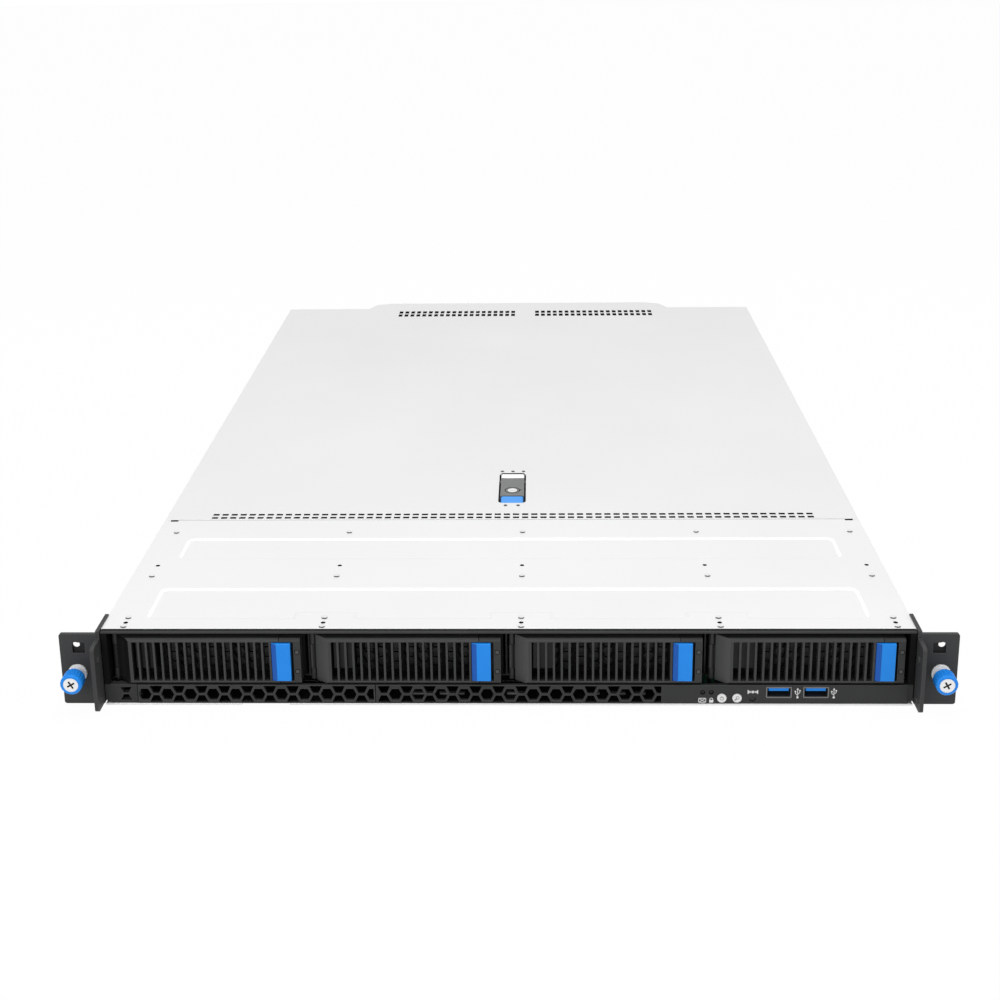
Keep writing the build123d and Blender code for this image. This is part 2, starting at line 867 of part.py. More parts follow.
def hard_drive(centre, name):
    """Standard 3.5 inch drive: cast base with rounded corners, raised lid and spindle boss."""
    with BuildPart() as drive:
        with BuildSketch(Plane.XY.offset(drive_base)) as base:
            with Locations((centre, (drive_front + drive_rear) / 2)):
                Rectangle(drive_width, drive_depth)
            fillet(base.vertices(), drive_corner)
        extrude(amount=drive_height - drive_lid)
        with BuildSketch(Plane.XY.offset(drive_base + drive_height - drive_lid)) as lid:
            with Locations((centre, (drive_front + drive_rear) / 2)):
                Rectangle(drive_width - 2 * drive_lid_inset, drive_depth - 2 * drive_lid_inset)
            fillet(lid.vertices(), drive_corner)
            with Locations((centre, drive_front + drive_boss_place)):
                Circle(drive_boss_radius, mode=Mode.SUBTRACT)
        extrude(amount=drive_lid)
    save(drive, name)


def drive_backplane():
    """Upright circuit board behind the drives with one connector and one air window per cell."""
    with BuildPart() as backplane:
        with BuildSketch(facing(backplane_front)):
            with Locations((0, (shelf_top + backplane_top) / 2)):
                Rectangle(bay_count * bay_pitch, backplane_top - shelf_top)
            for centre in bay_centres:
                air_level = backplane_top - backplane_air_margin - backplane_air_height / 2
                with Locations((centre + backplane_air_shift, air_level)):
                    SlotOverall(backplane_air_width, backplane_air_height, mode=Mode.SUBTRACT)
        extrude(amount=-backplane_board)
        connector_front = drive_rear + connector_gap
        with BuildSketch(facing(connector_front)):
            for centre in bay_centres:
                socket = centre - drive_width / 2 + connector_inset + connector_width / 2
                with Locations((socket, drive_base + connector_height / 2)):
                    Rectangle(connector_width, connector_height)
        extrude(amount=connector_front - backplane_front)
        foot_rear = backplane_front + backplane_board
        for side in (-1, 1):
            with BuildSketch(facing(backplane_front)):
                with Locations((side * backplane_foot_place, (pan_sheet + shelf_top) / 2)):
                    Rectangle(bracket_foot, shelf_top - pan_sheet)
            extrude(amount=backplane_front - foot_rear)
    save(backplane, "drive_backplane")


def hex_holes(left, right, full_first):
    """Columns of honeycomb: full cells take turns with pairs of half cells that end at the edges."""
    upper = (hex_level + hex_web / 2, strip_top - hex_border)
    lower = (hex_level - hex_web / 2, pan_sheet + hex_border)
    first = left + hex_first
    columns = int((right - first) / hex_column) + 1
    for column in range(columns):
        with Locations((first + column * hex_column, 0)):
            if (column % 2 == 0) == full_first:
                Polygon(
                    (-hex_width / 2, hex_level),
                    (-hex_side / 2, hex_level + hex_height / 2),
                    (hex_side / 2, hex_level + hex_height / 2),
                    (hex_width / 2, hex_level),
                    (hex_side / 2, hex_level - hex_height / 2),
                    (-hex_side / 2, hex_level - hex_height / 2),
                    align=None,
                )
            else:
                for inner, outer in (upper, lower):
                    Polygon(
                        (-hex_half_narrow / 2, inner),
                        (hex_half_narrow / 2, inner),
                        (hex_half_wide / 2, outer),
                        (-hex_half_wide / 2, outer),
                        align=None,
                    )


def strip_blank(left, right):
    """Outline of one strip panel, drawn in the sketch that is open."""
    with Locations(((left + right) / 2, strip_middle)):
        Rectangle(right - left, strip_height)


def strip_field(left, right):
    """The part of a strip panel that its holes may use, drawn in the sketch that is open."""
    with Locations(((left + right) / 2, strip_middle)):
        Rectangle(right - left - 2 * hex_border, strip_height - 2 * hex_border, mode=Mode.INTERSECT)


def optical_bay_filler():
    """Clip-in honeycomb filler in the slim drive opening, with side returns behind its face."""
    right = filler_right - strip_seam
    left = filler_left + strip_seam
    with BuildPart() as filler:
        with BuildSketch(facing(0)):
            strip_blank(left, right)
        extrude(amount=-strip_thickness)
        with BuildSketch(facing(0)):
            hex_holes(filler_left, right, True)
            strip_field(left, right)
        extrude(amount=-strip_thickness, mode=Mode.SUBTRACT)
        for place in (left + strip_seam, right - strip_seam):
            with BuildSketch(facing(strip_thickness)):
                with Locations((place, strip_middle)):
                    Rectangle(2 * strip_seam, strip_height - 2 * running_gap)
            extrude(amount=-filler_return)
    save(filler, "optical_bay_filler")


def control_fascia():
    """Right part of the lower strip: honeycomb, then the solid panel with its control holes."""
    right = frame_opening
    with BuildPart() as fascia:
        with BuildSketch(facing(0)):
            strip_blank(filler_right, right)
        extrude(amount=-strip_thickness)
        with BuildSketch(facing(0)):
            hex_holes(filler_right, mesh_right, False)
            strip_field(filler_right + strip_seam, mesh_right)
        extrude(amount=-strip_thickness, mode=Mode.SUBTRACT)
        with BuildSketch(facing(0)):
            for place in light_places:
                with Locations((place, light_level)):
                    Circle(light_hole_radius)
            for place in (power_place, locate_place):
                with Locations((place, button_level)):
                    Circle(button_radius + running_gap)
            with Locations((reset_place, reset_level)):
                Circle(reset_radius + running_gap)
            for place in usb_places:
                with Locations((place, usb_level)):
                    RectangleRounded(usb_width + 2 * running_gap, usb_height + 2 * running_gap, usb_wall)
        extrude(amount=-strip_thickness, mode=Mode.SUBTRACT)
    save(fascia, "control_fascia")


def front_frame():
    """Black portal round the trays: top lip, two jambs and the pierced end plate lower left."""
    end_plate_right = filler_left
    with BuildPart() as frame:
        with BuildSketch(facing(frame_face)):
            with Locations((0, (pan_sheet + chassis_height) / 2)):
                Rectangle(2 * frame_half_width, chassis_height - pan_sheet)
            with Locations((0, (strip_top + cover_under) / 2)):
                Rectangle(2 * frame_opening, cover_under - strip_top, mode=Mode.SUBTRACT)
            with Locations(((end_plate_right + frame_opening) / 2, strip_middle)):
                Rectangle(frame_opening - end_plate_right, strip_height, mode=Mode.SUBTRACT)
            step_place = frame_half_width - frame_step_width
            step_top = pan_sheet + frame_step_height
            for side in (-1, 1):
                Polygon(
                    (side * frame_half_width, pan_sheet),
                    (side * frame_half_width, step_top),
                    (side * (step_place + frame_step_height), step_top),
                    (side * step_place, pan_sheet),
                    align=None,
                    mode=Mode.SUBTRACT,
                )
        extrude(amount=frame_face - frame_depth)
        with BuildSketch(facing(0)):
            with Locations((end_hole_left + end_hole_width / 2, strip_middle)):
                for side in (-1, 1):
                    Polygon(
                        (-end_hole_width / 2, side * (end_hole_height + end_hole_web / 2)),
                        (end_hole_width / 2, side * (end_hole_height + end_hole_web / 2)),
                        (end_hole_waist / 2, side * end_hole_web / 2),
                        (-end_hole_waist / 2, side * end_hole_web / 2),
                        align=None,
                    )
        extrude(amount=-frame_depth, mode=Mode.SUBTRACT)
        for side in (-1, 1):
            with BuildSketch(facing(frame_depth)):
                with Locations((side * (frame_opening + frame_web / 2), (strip_top + wall_top) / 2)):
                    Rectangle(frame_web, wall_top - strip_top)
            extrude(amount=frame_depth - cage_front)
        with BuildSketch(facing(frame_depth - cover_sheet)):
            with Locations((0, cover_under - cover_sheet / 2)):
                Rectangle(2 * frame_opening, cover_sheet)
        extrude(amount=-frame_depth)
    save(frame, "front_frame")


def front_board():
    """Upright board behind the fascia with its switches and the light pipes of the two lamps."""
    with BuildPart() as board:
        with BuildSketch(facing(front_board_place)):
            with Locations(((front_board_left + front_board_right) / 2, (pan_sheet + front_board_top) / 2)):
                Rectangle(front_board_right - front_board_left, front_board_top - pan_sheet)
        extrude(amount=-board_sheet)
        with BuildSketch(facing(switch_front)):
            for place in (power_place, locate_place, reset_place):
                with Locations((place, button_level + running_gap)):
                    Rectangle(switch_size, switch_size)
        extrude(amount=switch_front - front_board_place)
        with BuildSketch(facing(frame_face)):
            for place in light_places:
                with Locations((place, light_level)):
                    Circle(light_pipe_radius)
        extrude(amount=frame_face - front_board_place)
    save(board, "front_board")


def usb_shells():
    """Folded steel shells of the two front ports, open to the front."""
    with BuildPart() as shells:
        with BuildSketch(facing(usb_face)):
            for place in usb_places:
                with Locations((place, usb_level)):
                    RectangleRounded(usb_width, usb_height, usb_wall)
                    Rectangle(usb_width - 2 * usb_wall, usb_height - 2 * usb_wall, mode=Mode.SUBTRACT)
        extrude(amount=-usb_length)
    save(shells, "usb_shells")


def usb_tongues():
    """Plastic contact tongues along the top of the two front ports, on a block at the back."""
    inner_width = usb_width - 2 * usb_wall
    inner_height = usb_height - 2 * usb_wall
    tongue_level = usb_level + (inner_height - tongue_height) / 2 - tongue_drop
    with BuildPart() as tongues:
        with BuildSketch(facing(usb_face + tongue_inset)):
            for place in usb_places:
                with Locations((place, tongue_level)):
                    Rectangle(inner_width - 2 * tongue_inset, tongue_height)
        extrude(amount=tongue_inset - usb_length)
        with BuildSketch(facing(usb_face + usb_length - board_sheet)):
            for place in usb_places:
                with Locations((place, usb_level)):
                    Rectangle(inner_width, inner_height)
        extrude(amount=-board_sheet)
    save(tongues, "usb_tongues")


def push_button(place, level, radius, face, name):
    """Cap through the fascia, flange that keeps it in, and a stem to its switch."""
    flange_front = strip_thickness + running_gap
    stem_end = switch_front - button_travel - fit_gap
    with BuildPart() as button:
        with BuildSketch(facing(face)):
            with Locations((place, level)):
                Circle(radius)
        extrude(amount=face - flange_front)
        with BuildSketch(facing(flange_front)):
            with Locations((place, level)):
                Circle(radius + button_lip)
        extrude(amount=-button_flange)
        with BuildSketch(facing(flange_front)):
            with Locations((place, level)):
                Circle(button_stem_radius)
        extrude(amount=flange_front - stem_end)
    save(button, name)


def cover_section():
    """Outline of a cover: top sheet and its two side skirts, drawn in the sketch that is open."""
    with Locations((0, chassis_height - cover_sheet / 2)):
        Rectangle(chassis_width, cover_sheet)
    for side in (-1, 1):
        with Locations((side * (half_width - cover_sheet / 2), chassis_height - skirt_height / 2)):
            Rectangle(cover_sheet, skirt_height)


def recess_outline(grow):
    """The two sunk stiffening panels of the front cover, grown by the given amount."""
    with Locations((0, rear_recess_front + rear_recess_depth / 2)):
        RectangleRounded(
            2 * (recess_half_width + grow), rear_recess_depth + 2 * grow, recess_corner + grow
        )
    with Locations((0, front_recess_front + front_recess_depth / 2)):
        RectangleRounded(
            2 * (recess_half_width + grow), front_recess_depth + 2 * grow, recess_corner + grow
        )
    for place in cover_columns[1:-1]:
        with Locations((place, front_recess_front + recess_step_depth / 2 - grow)):
            Rectangle(recess_step_width - 2 * grow, recess_step_depth, mode=Mode.SUBTRACT)


def front_cover():
    """Fixed galvanised cover over the drives, stiffened by two sunk panels."""
    with BuildPart() as cover:
        with BuildSketch(facing(frame_depth)):
            cover_section()
        extrude(amount=frame_depth - cover_seam)
        with BuildSketch(Plane.XY.offset(cover_under)):
            recess_outline(cover_sheet - recess_slope)
        extrude(amount=-recess_depth)
        with BuildSketch(Plane.XY.offset(chassis_height)):
            recess_outline(-recess_slope)
        extrude(amount=-recess_depth, mode=Mode.SUBTRACT)
        rims = cover.edges(Select.LAST).group_by(Axis.Z)[-1]
        top_face = cover.faces().sort_by(Axis.Z)[-1]
        chamfer(rims, recess_slope, recess_depth - recess_foot, reference=top_face)
        with BuildSketch(Plane.XY.offset(cover_under)):
            for side in (-1, 1):
                with Locations((side * half_width, (frame_depth + front_skirt_start) / 2)):
                    Rectangle(2 * cover_sheet, front_skirt_start - frame_depth)
        extrude(amount=skirt_base - cover_under, mode=Mode.SUBTRACT)
        with BuildSketch(Plane.XY.offset(chassis_height)):
            for place in cover_columns:
                for row in cover_hole_rows:
                    with Locations((place, row)):
                        Circle(cover_hole_radius)
            for side in (-1, 1):
                with Locations((side * cover_notch_place, cover_seam)):
                    Rectangle(cover_notch_width, 2 * cover_notch_depth)
        extrude(amount=-cover_sheet, mode=Mode.SUBTRACT)
    save(cover, "front_cover")


def rear_cover():
    """Sliding cover with two rows of slots, the latch opening, rear vents and a thumb lip."""
    front = cover_seam + seam_gap
    with BuildPart() as cover:
        with BuildSketch(facing(front)):
            cover_section()
        extrude(amount=front - chassis_depth)
        with BuildSketch(Plane.XY.offset(cover_under)):
            with BuildLine():
                Polyline(
                    (-lip_half_width - lip_slope / 2, chassis_depth),
                    (-lip_half_width, chassis_depth + lip_slope),
                    (-lip_half_width + lip_slope, chassis_depth + lip_reach),
                    (lip_half_width - lip_slope, chassis_depth + lip_reach),
                    (lip_half_width, chassis_depth + lip_slope),
                    (lip_half_width + lip_slope / 2, chassis_depth),
                    close=True,
                )
            make_face()
        extrude(amount=cover_sheet)
        with BuildSketch(Plane.XY.offset(chassis_height)):
            for row in slot_rows:
                with Locations((latch_place, row)):
                    with GridLocations(cover_slot_pitch, 0, cover_slot_count, 1):
                        Rectangle(cover_slot_width, cover_slot_depth)
            for start in vent_starts:
                for row in vent_rows:
                    with Locations((start + (vent_columns - 1) * vent_pitch / 2, row)):
                        with GridLocations(vent_pitch, 0, vent_columns, 1):
                            Rectangle(vent_width, vent_depth)
            with Locations((latch_place, pocket_front + pocket_length / 2)):
                RectangleRounded(pocket_width, pocket_length, pocket_corner)
        extrude(amount=-cover_sheet, mode=Mode.SUBTRACT)
    save(cover, "rear_cover")


def latch_pocket():
    """Pressed tub riveted under the cover; its side walls carry the latch trunnions."""
    middle = pocket_front + pocket_length / 2
    with BuildPart() as pocket:
        with BuildSketch(Plane.XY.offset(pocket_floor - pocket_sheet)):
            with Locations((latch_place, middle)):
                RectangleRounded(
                    pocket_width + 2 * pocket_sheet,
                    pocket_length + 2 * pocket_sheet,
                    pocket_corner + pocket_sheet,
                )
        extrude(amount=cover_under - pocket_floor + pocket_sheet)
        with BuildSketch(Plane.XY.offset(cover_under)):
            with Locations((latch_place, middle)):
                RectangleRounded(
                    pocket_width + 2 * pocket_flange,
                    pocket_length + 2 * pocket_flange,
                    pocket_corner + pocket_flange,
                )
        extrude(amount=-pocket_sheet)
        with BuildSketch(Plane.XY.offset(cover_under)):
            with Locations((latch_place, middle)):
                RectangleRounded(pocket_width, pocket_length, pocket_corner)
        extrude(amount=pocket_floor - cover_under, mode=Mode.SUBTRACT)
        with BuildSketch(Plane.YZ.offset(latch_place - pocket_width)):
            with Locations((latch_pivot, latch_pivot_level)):
                Circle(latch_pin_radius + fit_gap)
        extrude(amount=2 * pocket_width, mode=Mode.SUBTRACT)
    save(pocket, "latch_pocket")


def latch_lever():
    """Grey lever that lifts at its front and turns on trunnions at its rear."""
    base = latch_top - latch_thickness
    with BuildPart() as lever:
        with BuildSketch(Plane.YZ.offset(latch_place - latch_width / 2)) as side:
            with Locations(((latch_joint + latch_rear) / 2, base + latch_thickness / 2)):
                Rectangle(latch_rear - latch_joint, latch_thickness)
            fillet(side.vertices().sort_by(Axis.X)[-2:], latch_round)
        extrude(amount=latch_width)
        with BuildSketch(Plane.YZ.offset(latch_place - pocket_width / 2 - pocket_sheet)):
            with Locations((latch_pivot, latch_pivot_level)):
                Circle(latch_pin_radius)
        extrude(amount=pocket_width + 2 * pocket_sheet)
        with BuildSketch(Plane.XY.offset(latch_top)):
            with Locations((latch_place, lock_place)):
                Circle(lock_radius + fit_gap)
        extrude(amount=-latch_thickness, mode=Mode.SUBTRACT)
    save(lever, "latch_lever")


def latch_tip():
    """Coloured touch point moulded on the front end of the latch lever."""
    base = latch_top - latch_thickness
    front = pocket_front + tip_front_gap
    with BuildPart() as tip:
        with BuildSketch(Plane.XY.offset(base)):
            with Locations((latch_place, (front + latch_joint) / 2)):
                Rectangle(tip_width, latch_joint - front)
        extrude(amount=latch_thickness)
        fillet(tip.edges().filter_by(Axis.Z), tip_corner)
        chamfer(tip.faces().sort_by(Axis.Z)[-1].edges(), tip_bevel)
    save(tip, "latch_tip")


def lock_screw():
    """Quarter-turn lock in the latch lever with a cross bar under it."""
    base = latch_top - latch_thickness
    bar_top = base - running_gap
    with BuildPart() as lock:
        with BuildSketch(Plane.XY.offset(bar_top - lock_bar_thickness)):
            with Locations((latch_place, lock_place)):
                Circle(lock_radius)
        extrude(amount=latch_thickness + running_gap + lock_bar_thickness)
        with BuildSketch(Plane.XY.offset(bar_top - lock_bar_thickness)):
            with Locations((latch_place, lock_place)):
                SlotOverall(lock_bar_length, lock_bar_width)
        extrude(amount=lock_bar_thickness)
        with BuildSketch(Plane.XY.offset(latch_top)):
            with Locations((latch_place, lock_place)):
                Rectangle(2 * lock_radius - 2 * lock_slot_width, lock_slot_width)
        extrude(amount=-lock_slot_width, mode=Mode.SUBTRACT)
    save(lock, "lock_screw")


def fan_bracket():
    """Folded wall across the chassis that holds the row of fans by their front faces."""
    with BuildPart() as bracket:
        with BuildSketch(facing(fan_front - bracket_sheet)):
            with Locations((0, (pan_sheet + bracket_top) / 2)):
                Rectangle(2 * bracket_half_width, bracket_top - pan_sheet)
            for centre in fan_centres:
                window = 2 * fan_tip_radius
                with Locations((centre, fan_level)):
                    RectangleRounded(window, window, fan_hub_radius, mode=Mode.SUBTRACT)
            notch_base = pocket_floor - pocket_sheet - seam_gap
            with Locations((latch_place, (notch_base + bracket_top) / 2)):
                notch_width = pocket_width + 2 * pocket_flange + 2 * seam_gap
                Rectangle(notch_width, bracket_top - notch_base, mode=Mode.SUBTRACT)
        extrude(amount=-bracket_sheet)
        with BuildSketch(Plane.XY.offset(pan_sheet)):
            with Locations((0, fan_front - bracket_foot / 2)):
                Rectangle(2 * bracket_half_width, bracket_foot)
        extrude(amount=bracket_sheet)
    save(bracket, "fan_bracket")


def fan_frames():
    """Square fan housings with a round duct and four arms that carry the motor base."""
    motor_front = fan_front + fan_depth - fan_motor_depth
    with BuildPart() as frames:
        for centre in fan_centres:
            with BuildSketch(facing(fan_front)):
                with Locations((centre, fan_level)):
                    RectangleRounded(fan_size, fan_size, 2 * fan_arm_width)
                    Circle(fan_bore_radius, mode=Mode.SUBTRACT)
            extrude(amount=-fan_depth)
            with BuildSketch(facing(motor_front)):
                with Locations((centre, fan_level)):
                    for turn in (-fan_arm_turn, fan_arm_turn):
                        Rectangle(fan_size - fan_arm_width, fan_arm_width, rotation=turn)
                    Circle(fan_hub_radius)
                    Circle(fan_shaft_radius + fit_gap, mode=Mode.SUBTRACT)
            extrude(amount=-fan_motor_depth)
    save(frames, "fan_frames")


def fan_rotor(centre, name):
    """Impeller: cup hub, tilted blades trimmed to the duct, and the shaft into the motor base."""
    hub_front = fan_front + fan_depth - fan_motor_depth - 2 * running_gap - fan_hub_depth
    blade_length = fan_tip_radius
    with BuildPart() as rotor:
        for blade in range(fan_blades):
            spoke = Vector(1, 0, 0).rotate(Axis.Y, blade * 360 / fan_blades)
            chord = Vector(0, 1, 0).rotate(Axis(origin=(0, 0, 0), direction=spoke), fan_blade_tilt)
            middle = Vector(centre, hub_front + fan_hub_depth / 2, fan_level)
            root = Plane(origin=middle, x_dir=spoke, z_dir=chord)
            with BuildSketch(root):
                with Locations((blade_length / 2 + fan_hub_radius / 3, 0)):
                    Rectangle(blade_length, fan_blade_thickness)
            extrude(amount=fan_hub_depth / 2, both=True)
        with BuildSketch(facing(hub_front)):
            with Locations((centre, fan_level)):
                Circle(fan_tip_radius)
        extrude(amount=-fan_hub_depth, mode=Mode.INTERSECT)
        with BuildSketch(facing(hub_front)):
            with Locations((centre, fan_level)):
                Circle(fan_hub_radius)
        extrude(amount=-fan_hub_depth)
        with BuildSketch(facing(hub_front + fan_hub_depth)):
            with Locations((centre, fan_level)):
                Circle(fan_shaft_radius)
        extrude(amount=-(fan_motor_depth + running_gap))
    save(rotor, name)


def motherboard():
    """System board with its processor socket, chip cooler block and card connectors."""
    with BuildPart() as board:
        with BuildSketch(Plane.XY.offset(board_level)):
            with Locations(((board_left + board_right) / 2, (board_front + board_rear) / 2)):
                Rectangle(board_right - board_left, board_rear - board_front)
        extrude(amount=board_sheet)
        with BuildSketch(Plane.XY.offset(board_top)):
            with Locations((socket_place, socket_depth_place)):
                Rectangle(socket_size, socket_size)
        extrude(amount=socket_height)
        with BuildSketch(Plane.XY.offset(board_top)):
            with Locations((hub_place, hub_depth_place)):
                Rectangle(hub_size, hub_size)
            for side in (-1, 1):
                for slot in range(memory_count):
                    with Locations((memory_place(side, slot), socket_depth_place)):
                        Rectangle(memory_slot_width, memory_slot_length)
        extrude(amount=memory_slot_height)
        with BuildSketch(Plane.XY.offset(board_top + memory_slot_height)):
            for side in (-1, 1):
                for slot in range(memory_count):
                    with Locations((memory_place(side, slot), socket_depth_place)):
                        Rectangle(memory_thickness, memory_length)
        extrude(amount=-memory_slot_height / 2, mode=Mode.SUBTRACT)
        with BuildSketch(Plane.XY.offset(board_top)):
            with Locations((riser_left, (riser_front + riser_rear) / 2)):
                Rectangle(memory_slot_width, riser_rear - riser_front)
        extrude(amount=memory_slot_height)
        with BuildSketch(Plane.XY.offset(board_top + memory_slot_height)):
            with Locations((riser_left, (riser_front + riser_rear) / 2)):
                Rectangle(board_sheet, riser_slot_length)
        extrude(amount=-memory_slot_height / 2, mode=Mode.SUBTRACT)
    save(board, "motherboard")


def memory_place(side, slot):
    """Across-server place of one memory slot; the slots stand in a bank on each side of the socket."""
    return socket_place + side * (memory_offset + slot * memory_pitch)


def memory_modules():
    """Memory boards standing in their slots along the air flow."""
    seat = board_top + memory_slot_height / 2
    with BuildPart() as modules:
        with BuildSketch(Plane.XY.offset(seat)):
            for side in (-1, 1):
                for slot in range(memory_count):
                    with Locations((memory_place(side, slot), socket_depth_place)):
                        Rectangle(memory_thickness, memory_length)
        extrude(amount=memory_height)
    save(modules, "memory_modules")


def processor_heatsink():
    """Finned aluminium cooler on the processor socket, fins along the air flow."""
    base_level = board_top + socket_height
    with BuildPart() as heatsink:
        with BuildSketch(Plane.XY.offset(base_level)):
            with Locations((socket_place, socket_depth_place)):
                Rectangle(heatsink_width, heatsink_length)
        extrude(amount=heatsink_base)
        with BuildSketch(Plane.XY.offset(base_level + heatsink_base)):
            with Locations((socket_place, socket_depth_place)):
                fin_pitch = (heatsink_width - heatsink_fin) / (heatsink_fins - 1)
                with GridLocations(fin_pitch, 0, heatsink_fins, 1):
                    Rectangle(heatsink_fin, heatsink_length)
        extrude(amount=heatsink_top - base_level - heatsink_base)
    save(heatsink, "processor_heatsink")


def air_shroud():
    """Plastic duct from the fans over the processor cooler, open at both ends and below."""
    outer = heatsink_width / 2 + shroud_clearance + shroud_wall
    base = board_top + running_gap
    with BuildPart() as shroud:
        with BuildSketch(facing(shroud_front)):
            with Locations((socket_place, (base + shroud_top) / 2)):
                Rectangle(2 * outer, shroud_top - base)
            with Locations((socket_place, (base + shroud_top) / 2 - shroud_wall)):
                Rectangle(2 * (outer - shroud_wall), shroud_top - base, mode=Mode.SUBTRACT)
        extrude(amount=shroud_front - shroud_rear)
    save(shroud, "air_shroud")


def riser_card():
    """Upright card in its board slot with a sideways connector for the expansion card."""
    seat = board_top + memory_slot_height / 2
    with BuildPart() as riser:
        with BuildSketch(Plane.YZ.offset(riser_left - board_sheet / 2)):
            with Locations(((riser_front + riser_rear) / 2, (seat + riser_base) / 2)):
                Rectangle(riser_slot_length, riser_base - seat)
            with Locations(((riser_front + riser_rear) / 2, (riser_base + riser_top) / 2)):
                Rectangle(riser_rear - riser_front, riser_top - riser_base)
        extrude(amount=board_sheet)
        with BuildSketch(Plane.YZ.offset(riser_left + board_sheet / 2)):
            with Locations(((riser_front + riser_rear) / 2, card_slot_base + card_slot_height / 2)):
                Rectangle(riser_slot_length, memory_slot_width)
        extrude(amount=memory_slot_width + riser_connector)
    save(riser, "riser_card")


def expansion_slot_cover():
    """Blank bracket that closes the rear card slot, with a screw tab at its outer end."""
    middle = (card_slot_left + card_slot_right) / 2
    level = card_slot_base + card_slot_height / 2
    width = card_slot_right - card_slot_left + 2 * blank_lap
    with BuildPart() as blank:
        with BuildSketch(facing(chassis_depth - panel_sheet - blank_sheet)):
            with Locations((middle, level)):
                Rectangle(width, card_slot_height + 2 * blank_lap)
        extrude(amount=-blank_sheet)
        with BuildSketch(Plane.YZ.offset(card_slot_right + blank_lap - blank_sheet)):
            with Locations((chassis_depth - panel_sheet - blank_tab / 2, level)):
                Rectangle(blank_tab, card_slot_height)
        extrude(amount=blank_sheet)
    save(blank, "expansion_slot_cover")


def rear_panel():
    """Rear wall with port holes, card slot, vents, a top flange and the power bay side wall."""
    face = chassis_depth - panel_sheet
    with BuildPart() as panel:
        with BuildSketch(facing(face)):
            with Locations((0, (pan_sheet + panel_top) / 2)):
                Rectangle(2 * panel_half_width, panel_top - pan_sheet)
            with Locations(((psu_left + psu_opening_right) / 2, (pan_sheet + psu_top + running_gap) / 2)):
                opening_height = psu_top + running_gap - pan_sheet
                Rectangle(psu_opening_right - psu_left, opening_height, mode=Mode.SUBTRACT)
            for place in lan_places:
                with Locations((place, board_top + lan_height / 2)):
                    Rectangle(lan_width + 2 * running_gap, lan_height + 2 * running_gap, mode=Mode.SUBTRACT)
            stack_height = 2 * usb_height + 2 * running_gap
            for place in rear_usb_places:
                with Locations((place, board_top + usb_height)):
                    Rectangle(usb_width + 2 * running_gap, stack_height, mode=Mode.SUBTRACT)
            for place in (serial_place, video_place):
                with Locations((place, board_top + shell_body_height / 2)):
                    RectangleRounded(
                        shell_plug_width + 2 * running_gap,
                        shell_plug_height + 2 * running_gap,
                        shell_plug_corner,
                        mode=Mode.SUBTRACT,
                    )
            with Locations(((card_slot_left + card_slot_right) / 2, card_slot_base + card_slot_height / 2)):
                Rectangle(card_slot_right - card_slot_left, card_slot_height, mode=Mode.SUBTRACT)
            vent_left = psu_opening_right + 2 * vent_hex_column
            vent_columns_across = int((card_slot_left - vent_left) / vent_hex_column) - 1
            for column in range(vent_columns_across):
                for row in range(rear_vent_rows):
                    up = (row + (column % 2) / 2) * vent_hex_row
                    with Locations((vent_left + column * vent_hex_column, rear_vent_level + up)):
                        RegularPolygon(vent_hex_radius, 6, mode=Mode.SUBTRACT)
        extrude(amount=-panel_sheet)
        with BuildSketch(Plane.XY.offset(panel_top)):
            with Locations((0, face - panel_flange / 2)):
                Rectangle(2 * panel_half_width, panel_flange)
        extrude(amount=-panel_sheet)
        with BuildSketch(Plane.XY.offset(pan_sheet)):
            with Locations((psu_opening_right + panel_sheet / 2, (psu_wall_front + face) / 2)):
                Rectangle(panel_sheet, face - psu_wall_front)
        extrude(amount=psu_top - pan_sheet)
    save(panel, "rear_panel")


def rear_ports():
    """Network jacks, stacked ports and the two shell connectors along the rear of the board."""
    face = chassis_depth + port_proud
    with BuildPart() as ports:
        for place in lan_places:
            with BuildSketch(facing(face - lan_depth)):
                with Locations((place, board_top + lan_height / 2)):
                    Rectangle(lan_width, lan_height)
            extrude(amount=-lan_depth)
            with BuildSketch(facing(face)):
                with Locations((place, board_top + lan_hole_base + lan_hole_height / 2)):
                    Rectangle(lan_hole_width, lan_hole_height)
                    with Locations((0, lan_hole_height / 2)):
                        Rectangle(lan_hole_width / 2, 2 * lan_tab_height)
            extrude(amount=lan_hole_depth, mode=Mode.SUBTRACT)
        for place in rear_usb_places:
            with BuildSketch(facing(face - usb_length)):
                with Locations((place, board_top + usb_height)):
                    Rectangle(usb_width, 2 * usb_height)
            extrude(amount=-usb_length)
            with BuildSketch(facing(face)):
                with Locations((place, board_top + usb_height)):
                    with GridLocations(0, usb_height, 1, 2):
                        Rectangle(usb_width - 2 * usb_wall, usb_height - 2 * usb_wall)
                        with Locations((0, tongue_height / 2)):
                            Rectangle(usb_width - 4 * usb_wall, tongue_height, mode=Mode.SUBTRACT)
            extrude(amount=usb_length - board_sheet, mode=Mode.SUBTRACT)
        for place in (serial_place, video_place):
            body_rear = chassis_depth - panel_sheet
            with BuildSketch(facing(body_rear - lan_hole_depth)):
                with Locations((place, board_top + shell_body_height / 2)):
                    Rectangle(shell_body_width, shell_body_height)
            extrude(amount=-lan_hole_depth)
            with BuildSketch(facing(body_rear)):
                with Locations((place, board_top + shell_body_height / 2)):
                    RectangleRounded(shell_plug_width, shell_plug_height, shell_plug_corner)
            extrude(amount=-(panel_sheet + shell_plug_depth))
            with BuildSketch(facing(body_rear + panel_sheet + shell_plug_depth)):
                with Locations((place, board_top + shell_body_height / 2)):
                    RectangleRounded(
                        shell_plug_width - 2 * shell_plug_wall,
                        shell_plug_height - 2 * shell_plug_wall,
                        shell_plug_corner - shell_plug_wall,
                    )
            extrude(amount=shell_plug_depth / 2, mode=Mode.SUBTRACT)
    save(ports, "rear_ports")


